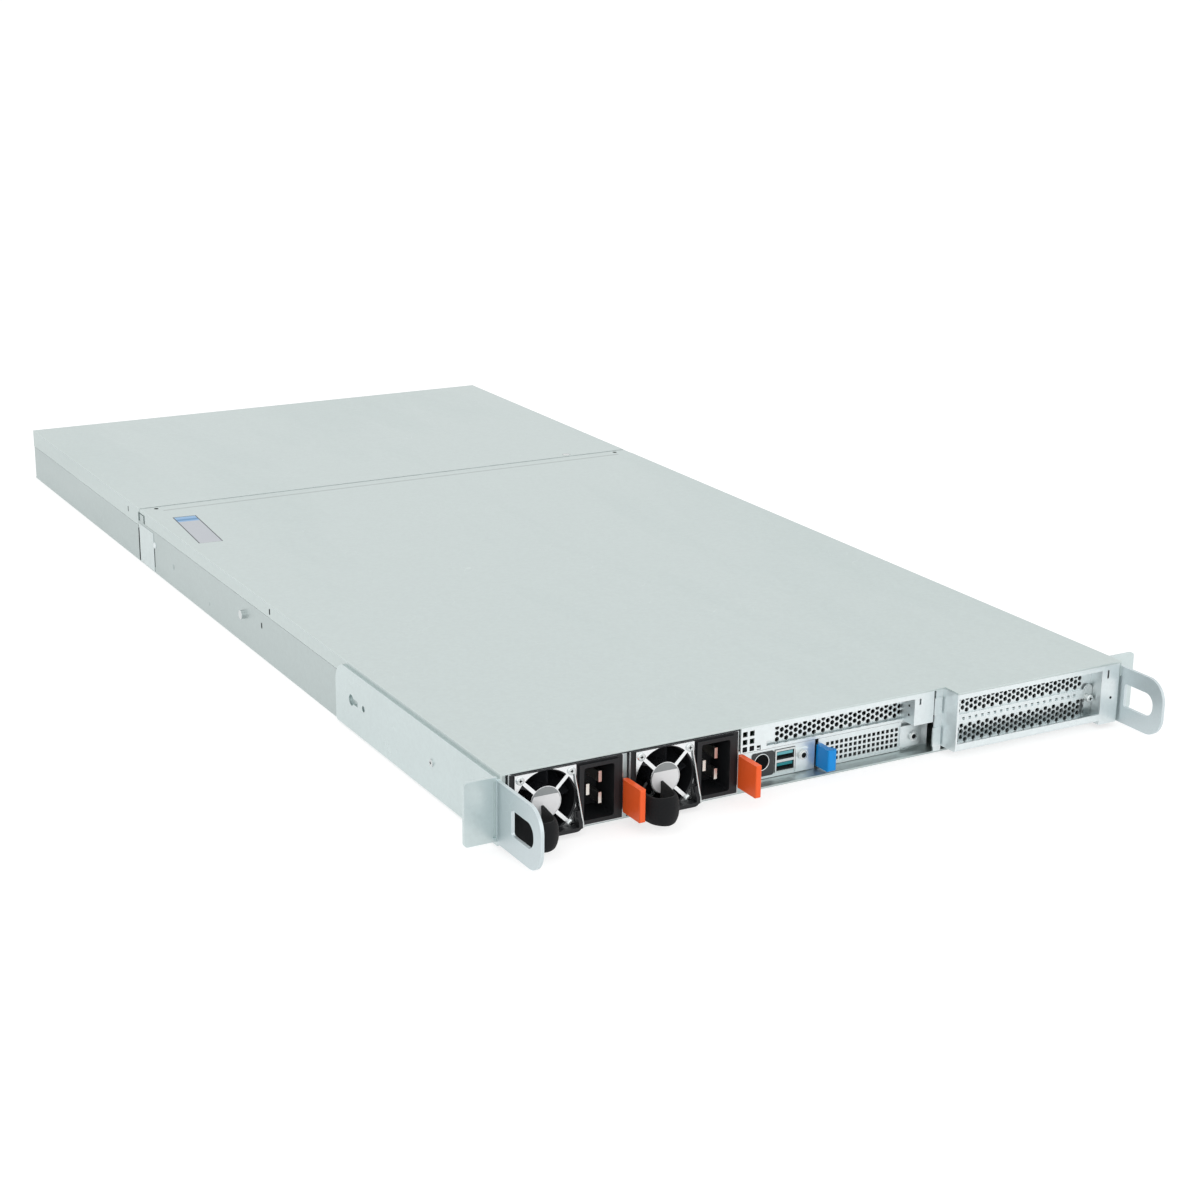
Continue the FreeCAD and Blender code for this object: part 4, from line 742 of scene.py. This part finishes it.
# The pull straps: a loop of black hook-and-loop webbing is fixed low on each guard and stands
# out for a finger. It is woven in fine ribs and its cut edges are a little fuzzy.
STRAP_LEG = 15.9
STRAP_MIDDLE = SUPPLY_LEFT + 11.0
STRAP_RADIUS = 9.4
STRAP_THICK = 1.7
STRAP_LOW = 3.1
STRAP_HIGH = 20.5
BEND_MIDDLE = spot(STRAP_MIDDLE, GUARD_FACE - STRAP_LEG, 0)
bpy.ops.object.select_all(action="DESELECT")
bpy.ops.mesh.primitive_grid_add(x_subdivisions=1, y_subdivisions=8, size=1, rotation=(math.pi / 2, 0, 0),
                                location=spot(STRAP_MIDDLE - STRAP_RADIUS, GUARD_FACE,
                                              (STRAP_LOW + STRAP_HIGH) / 2))
strap = bpy.context.object
strap.name = "psu_1_pull_strap"
strap.scale = (STRAP_THICK * MM, (STRAP_HIGH - STRAP_LOW) * MM, 1)
bpy.ops.object.transform_apply(location=True, rotation=True, scale=True)
pick(strap, lambda middle, normal: True)
bpy.ops.mesh.extrude_region_move(TRANSFORM_OT_translate={"value": (0, -STRAP_LEG * MM, 0)})
bpy.ops.mesh.spin(steps=18, angle=math.pi, center=BEND_MIDDLE, axis=(0, 0, -1))
bpy.ops.mesh.extrude_region_move(TRANSFORM_OT_translate={"value": (0, STRAP_LEG * MM, 0)})
bpy.ops.mesh.select_all(action="SELECT")
bpy.ops.mesh.remove_doubles(threshold=0.00001)
bpy.ops.mesh.normals_make_consistent(inside=False)
closed()
half_height = (STRAP_HIGH - STRAP_LOW) / 2 * MM
for corner in strap.data.vertices:
    off_middle = corner.co.z - (STRAP_LOW * MM + half_height)
    out = max(0.0, min(1.0, (BEND_MIDDLE.y - corner.co.y) / (STRAP_RADIUS * MM) + 1.2))
    drawn_in = 0.17 * out * (abs(off_middle) / half_height) ** 2.5
    corner.co.x += (BEND_MIDDLE.x - corner.co.x) * drawn_in
    corner.co.y += (BEND_MIDDLE.y - corner.co.y) * drawn_in
    corner.co.z -= off_middle * 0.08 * out * abs(corner.co.x - BEND_MIDDLE.x) / (STRAP_RADIUS * MM)
eased(strap, 0.35, 2)
threads = strap.data.uv_layers.new(name="threads")
for face in strap.data.polygons:
    for corner in face.loop_indices:
        co = strap.data.vertices[strap.data.loops[corner].vertex_index].co
        arm = co - BEND_MIDDLE
        turn = math.atan2(-arm.y, -arm.x) if arm.y < 0 else (0.0 if arm.x < 0 else math.pi)
        leg = 0.0 if arm.y < 0 else (arm.y if arm.x > 0 else -arm.y)
        threads.data[corner].uv = (turn * STRAP_RADIUS + leg / MM, co.z / MM)

webbing, tree, shader = new_material("black_webbing")
woven = node(tree, "TexCoord").outputs["UV"]
along, across, _ = node(tree, "SeparateXYZ", ((0, woven),)).outputs
weft = arithmetic(tree, "SINE", arithmetic(tree, "MULTIPLY", along, 5.2))
warp = arithmetic(tree, "SINE", arithmetic(tree, "MULTIPLY", across, 9.0))
weave = arithmetic(tree, "MULTIPLY", weft, warp)
fuzz = node(tree, "TexNoise", (("Vector", woven), ("Scale", 6.0), ("Detail", 6.0), ("Roughness", 0.8)))
height = arithmetic(tree, "ADD", arithmetic(tree, "MULTIPLY", weave, 0.5), fuzz.outputs["Fac"])
lit = arithmetic(tree, "MULTIPLY", arithmetic(tree, "ADD", height, 0.5), 0.5, True)
tree.links.new(blended(tree, lit, tinted(BLACK, 0.3), tinted(BLACK, 0.9)), shader.inputs["Base Color"])
glossed(tree, shader, fuzz.outputs["Fac"], 0.2, 0.72)
embossed(tree, shader, height, 0.8, 0.0003)
shader.inputs["Specular IOR Level"].default_value = 0.2
shader.inputs["Sheen Weight"].default_value = 0.06
fitted(strap, "psu_1", webbing)
second_strap = on_second(strap)
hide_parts("psu_1_strap")
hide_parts("psu_2_strap")

# The control module's face: a dark plastic window behind the power button, a bright ring round
# it, and two sockets, each darkened inside by a lining of painted shade, with teal tongues and
# gilt contacts in a plated shell.
TEAL = (0.02, 0.27, 0.30, 1.0)
GILT = (0.75, 0.52, 0.20, 1.0)
window_and_socket_shade = moulding("window_and_socket_shade", (0.05, 0.056, 0.06, 1.0), roughness=0.3, edge_wear_and_highlight=1.8)
teal_plastic = moulding("teal_plastic", TEAL, roughness=0.3, edge_wear_and_highlight=1.4)
pale_teal = moulding("pale_teal", (0.16, 0.50, 0.55, 1.0), roughness=0.3, edge_wear_and_highlight=1.4)
gilt_contact = sheet_steel("gilt_contact", GILT, roughness=0.25, crystal_scale=900.0,
                           crystal_tone=0.06, metal=1.0)
BUTTON = (-37.7, 12.6)
SOCKET_MIDDLE = -20.8


def ranked(piece, count, step):
    """Repeats a piece along a line as one mesh."""
    solo(piece)
    rank = piece.modifiers.new("rank", "ARRAY")
    rank.count = count
    rank.use_relative_offset = False
    rank.use_constant_offset = True
    rank.constant_offset_displace = [part * MM for part in step]
    bpy.ops.object.modifier_apply(modifier="rank")
    return piece


window = slab("button_window", spot(-44.6, 12.55, 3.2), spot(-28.6, 13.0, 18.8))
pick(window, lambda middle, along: abs(along.y) > 0.9, "EDGE")
bpy.ops.mesh.bevel(offset=1.6 * MM, segments=4)
closed()
cutter = turned("button_cutter", 4.7, 3.0, 40)
turned_to(cutter, spot(BUTTON[0], 14.0, BUTTON[1]), "front")
solo(window)
bore = window.modifiers.new("bore", "BOOLEAN")
bore.operation = "DIFFERENCE"
bore.solver = "EXACT"
bore.object = cutter
bpy.ops.object.modifier_apply(modifier="bore")
bpy.data.objects.remove(cutter)
eased(window, 0.1, 1)
fitted(window, "control_module", window_and_socket_shade)

bpy.ops.object.select_all(action="DESELECT")
bpy.ops.mesh.primitive_circle_add(vertices=8, radius=0.42 * MM, fill_type="NGON",
                                  location=spot(BUTTON[0] + 5.2, 12.5, BUTTON[1]))
ring = bpy.context.object
ring.name = "button_ring"
bpy.ops.object.transform_apply(location=True, rotation=True, scale=True)
pick(ring, lambda middle, normal: True)
bpy.ops.mesh.spin(steps=40, angle=2 * math.pi, center=spot(BUTTON[0], 12.5, BUTTON[1]), axis=(0, 1, 0))
bpy.ops.mesh.select_all(action="SELECT")
bpy.ops.mesh.remove_doubles(threshold=0.00002)
bpy.ops.mesh.normals_make_consistent(inside=False)
closed()
solo(ring)
bpy.ops.object.shade_smooth_by_angle(angle=math.radians(60))
fitted(ring, "control_module", turned_steel)

for number, low in enumerate((5.0, 12.0)):
    # Each socket's lining is a dark box of painted shade inside its shell.
    socket_shade = slab("usb_liner_%d" % number, spot(SOCKET_MIDDLE - 6.25, 12.45, low + 0.05),
                 spot(SOCKET_MIDDLE + 6.25, 24.2, low + 5.35))
    pick(socket_shade, lambda middle, normal: normal.y < -0.9)
    bpy.ops.mesh.inset(thickness=0.25 * MM)
    bpy.ops.mesh.extrude_region_move(TRANSFORM_OT_translate={"value": (0, 11.4 * MM, 0)})
    closed()
    fitted(socket_shade, "control_module", window_and_socket_shade)
    tongue = slab("usb_tongue_%d" % number, spot(SOCKET_MIDDLE - 5.8, 12.9, low + 2.7),
                  spot(SOCKET_MIDDLE + 5.8, 23.6, low + 4.7))
    eased(tongue, 0.25, 2)
    fitted(tongue, "control_module", (teal_plastic, pale_teal)[number])
    contact = slab("usb_contacts_%d" % number, spot(SOCKET_MIDDLE - 4.0, 13.4, low + 2.62),
                   spot(SOCKET_MIDDLE - 3.0, 20.0, low + 2.8))
    eased(contact, 0.05, 1)
    ranked(contact, 4, (2.33, 0, 0))
    fitted(contact, "control_module", gilt_contact)

# Boards, coolers and drives inside: green solder mask over copper tracks, black sockets,
# extruded aluminium fins, flat copper bars and cast aluminium drives.
MASK = (0.012, 0.085, 0.045, 1.0)
TRACK = (0.03, 0.15, 0.07, 1.0)
ALUMINIUM = (0.62, 0.63, 0.64, 1.0)
COPPER = (0.70, 0.33, 0.18, 1.0)


def circuit_board(name, part_height):
    """Solder mask with tracks and pads below part_height, black component bodies above it."""
    material, tree, shader = new_material(name)
    place = node(tree, "TexCoord").outputs["Object"]
    maze = node(tree, "TexBrick", (("Vector", place), ("Scale", 60.0), ("Mortar Size", 0.012),
                                   ("Color1", MASK), ("Color2", tinted(MASK, 1.25)), ("Mortar", TRACK)))
    pads = node(tree, "TexVoronoi", (("Vector", place), ("Scale", 260.0)))
    dot = node(tree, "MapRange", ((0, pads.outputs["Distance"]), (1, 0.16), (2, 0.12)), clamp=True)
    tinned = veiled(tree, dot, 0.6, maze.outputs["Color"], ALUMINIUM)
    height = node(tree, "SeparateXYZ", ((0, place),)).outputs[2]
    above = node(tree, "MapRange", ((0, height), (1, part_height), (2, part_height + 0.0001)), clamp=True)
    tree.links.new(blended(tree, above.outputs[0], tinned, tinted(BLACK, 1.4)), shader.inputs["Base Color"])
    smear = use(tree, smears, Place=place, Scale=30.0, Stretch=1.0, Cover=0.5)
    glossed(tree, shader, smear.outputs[0], 0.15, 0.35)
    embossed(tree, shader, maze.outputs["Fac"], 0.2)
    return material


BOARD_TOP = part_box("memory_sockets")[0].z
board_finish = circuit_board("main_board_finish", BOARD_TOP)
upright_board = circuit_board("upright_board_finish", 0.2)
paint(board_finish, "motherboard", "power_board")
paint(upright_board, "memory_modules", "riser_board", "backplane", "io_board")
fin_aluminium = sheet_steel("fin_aluminium", ALUMINIUM, roughness=0.32, crystal_scale=700.0,
                            crystal_tone=0.06, metal=1.0)
cast_aluminium = sheet_steel("cast_aluminium", tinted(ALUMINIUM, 0.9), roughness=0.5, crystal_scale=900.0,
                             crystal_tone=0.12, stretch=1.0, metal=1.0)
bar_copper = sheet_steel("bar_copper", COPPER, roughness=0.3, crystal_scale=300.0, crystal_tone=0.1,
                         metal=1.0)
paint(fin_aluminium, "heatsinks")
paint(cast_aluminium, "drives")
paint(bar_copper, "bus_bars")

# Parts on the boards: memory chips, can capacitors, coils and square chips are soldered down,
# and bare paper labels and small screws are on the drives and the supplies' cases.
CHIP = (0.025, 0.027, 0.03, 1.0)
BOARD_FACE = 7.8
DRIVE_FACE = 27.3
DRIVE_PITCH = 106.0
PROCESSOR_PITCH = 134.0
chip_epoxy = moulding("chip_epoxy", CHIP, roughness=0.5, edge_wear_and_highlight=1.6)
coil_grey = moulding("coil_grey", (0.09, 0.095, 0.10, 1.0), roughness=0.55, edge_wear_and_highlight=1.5)
can_aluminium = sheet_steel("can_aluminium", ALUMINIUM, roughness=0.28, crystal_scale=900.0,
                            crystal_tone=0.05, metal=1.0)
chips = slab("memory_chips", spot(-49.75, 322.6, 23.5), spot(-48.7, 333.0, 35.0))
eased(chips, 0.12, 1)
ranked(chips, 9, (0, 14.2, 0))
ranked(chips, 2, (2.45, 0, 0))
fitted(chips, "chassis", chip_epoxy)
for number, x in enumerate((-40.4, 64.3, 71.9, 79.5, 87.1, 94.7, 199.4, 207.0)):
    repeated(chips, "memory_chips_%d" % (number + 2), ((x + 48.0) * MM, 0, 0), "chassis")

can = turned("board_cans", 3.1, 7.4, 20)
pick(can, lambda middle, normal: normal.z > 0.9)
bpy.ops.mesh.inset(thickness=0.5 * MM)
bpy.ops.transform.translate(value=(0, 0, -0.25 * MM))
closed()
eased(can, 0.25, 2)
turned_to(can, spot(-20.0, 304.0, BOARD_FACE), "up")
ranked(can, 9, (8.6, 0, 0))
fitted(can, "chassis", can_aluminium)
repeated(can, "board_cans_2", (PROCESSOR_PITCH * MM, 0, 0), "chassis")
coil = slab("board_coils", spot(-22.0, 458.0, BOARD_FACE), spot(-12.0, 468.0, 13.6))
eased(coil, 0.8, 2)
ranked(coil, 7, (12.2, 0, 0))
fitted(coil, "chassis", coil_grey)
repeated(coil, "board_coils_2", (PROCESSOR_PITCH * MM, 0, 0), "chassis")
for number, (x, y, side, tall) in enumerate(((20.0, 500.0, 22.0, 1.8), (120.0, 500.0, 16.0, 1.4),
                                             (60.0, 280.0, 19.0, 1.6), (-25.0, 275.0, 14.0, 1.4),
                                             (195.0, 300.0, 12.0, 1.2), (180.0, 505.0, 10.0, 1.2))):
    chip = slab("board_chip_%d" % number, spot(x - side / 2, y - side / 2, BOARD_FACE),
                spot(x + side / 2, y + side / 2, BOARD_FACE + tall))
    pick(chip, lambda middle, normal: normal.z > 0.9)
    bpy.ops.mesh.inset(thickness=1.1 * MM)
    bpy.ops.transform.translate(value=(0, 0, -0.12 * MM))
    closed()
    eased(chip, 0.15, 1)
    fitted(chip, "chassis", chip_epoxy)

drive_label = slab("drive_labels", spot(-196.0, 790.0, DRIVE_FACE), spot(-122.0, 868.0, 27.42))
pick(drive_label, lambda middle, along: abs(along.z) > 0.9, "EDGE")
bpy.ops.mesh.bevel(offset=3.0 * MM, segments=3)
closed()
ranked(drive_label, 4, (DRIVE_PITCH, 0, 0))
fitted(drive_label, "chassis", white_label)
for number, (x, y) in enumerate(((-203.0, 760.0), (-115.0, 760.0), (-203.0, 891.0), (-115.0, 891.0))):
    screw = screw_head("drive_screws_%d" % number, 2.0, 0.7, turned_steel)
    turned_to(screw, spot(x, y, DRIVE_FACE), "up")
    ranked(screw, 4, (DRIVE_PITCH, 0, 0))
    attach(screw, "chassis")
case_label = slab("psu_1_case_label", spot(-199.0, 60.0, 41.6), spot(-154.0, 128.0, 41.68))
pick(case_label, lambda middle, along: abs(along.z) > 0.9, "EDGE")
bpy.ops.mesh.bevel(offset=2.0 * MM, segments=3)
closed()
on_second(fitted(case_label, "psu_1", white_label))
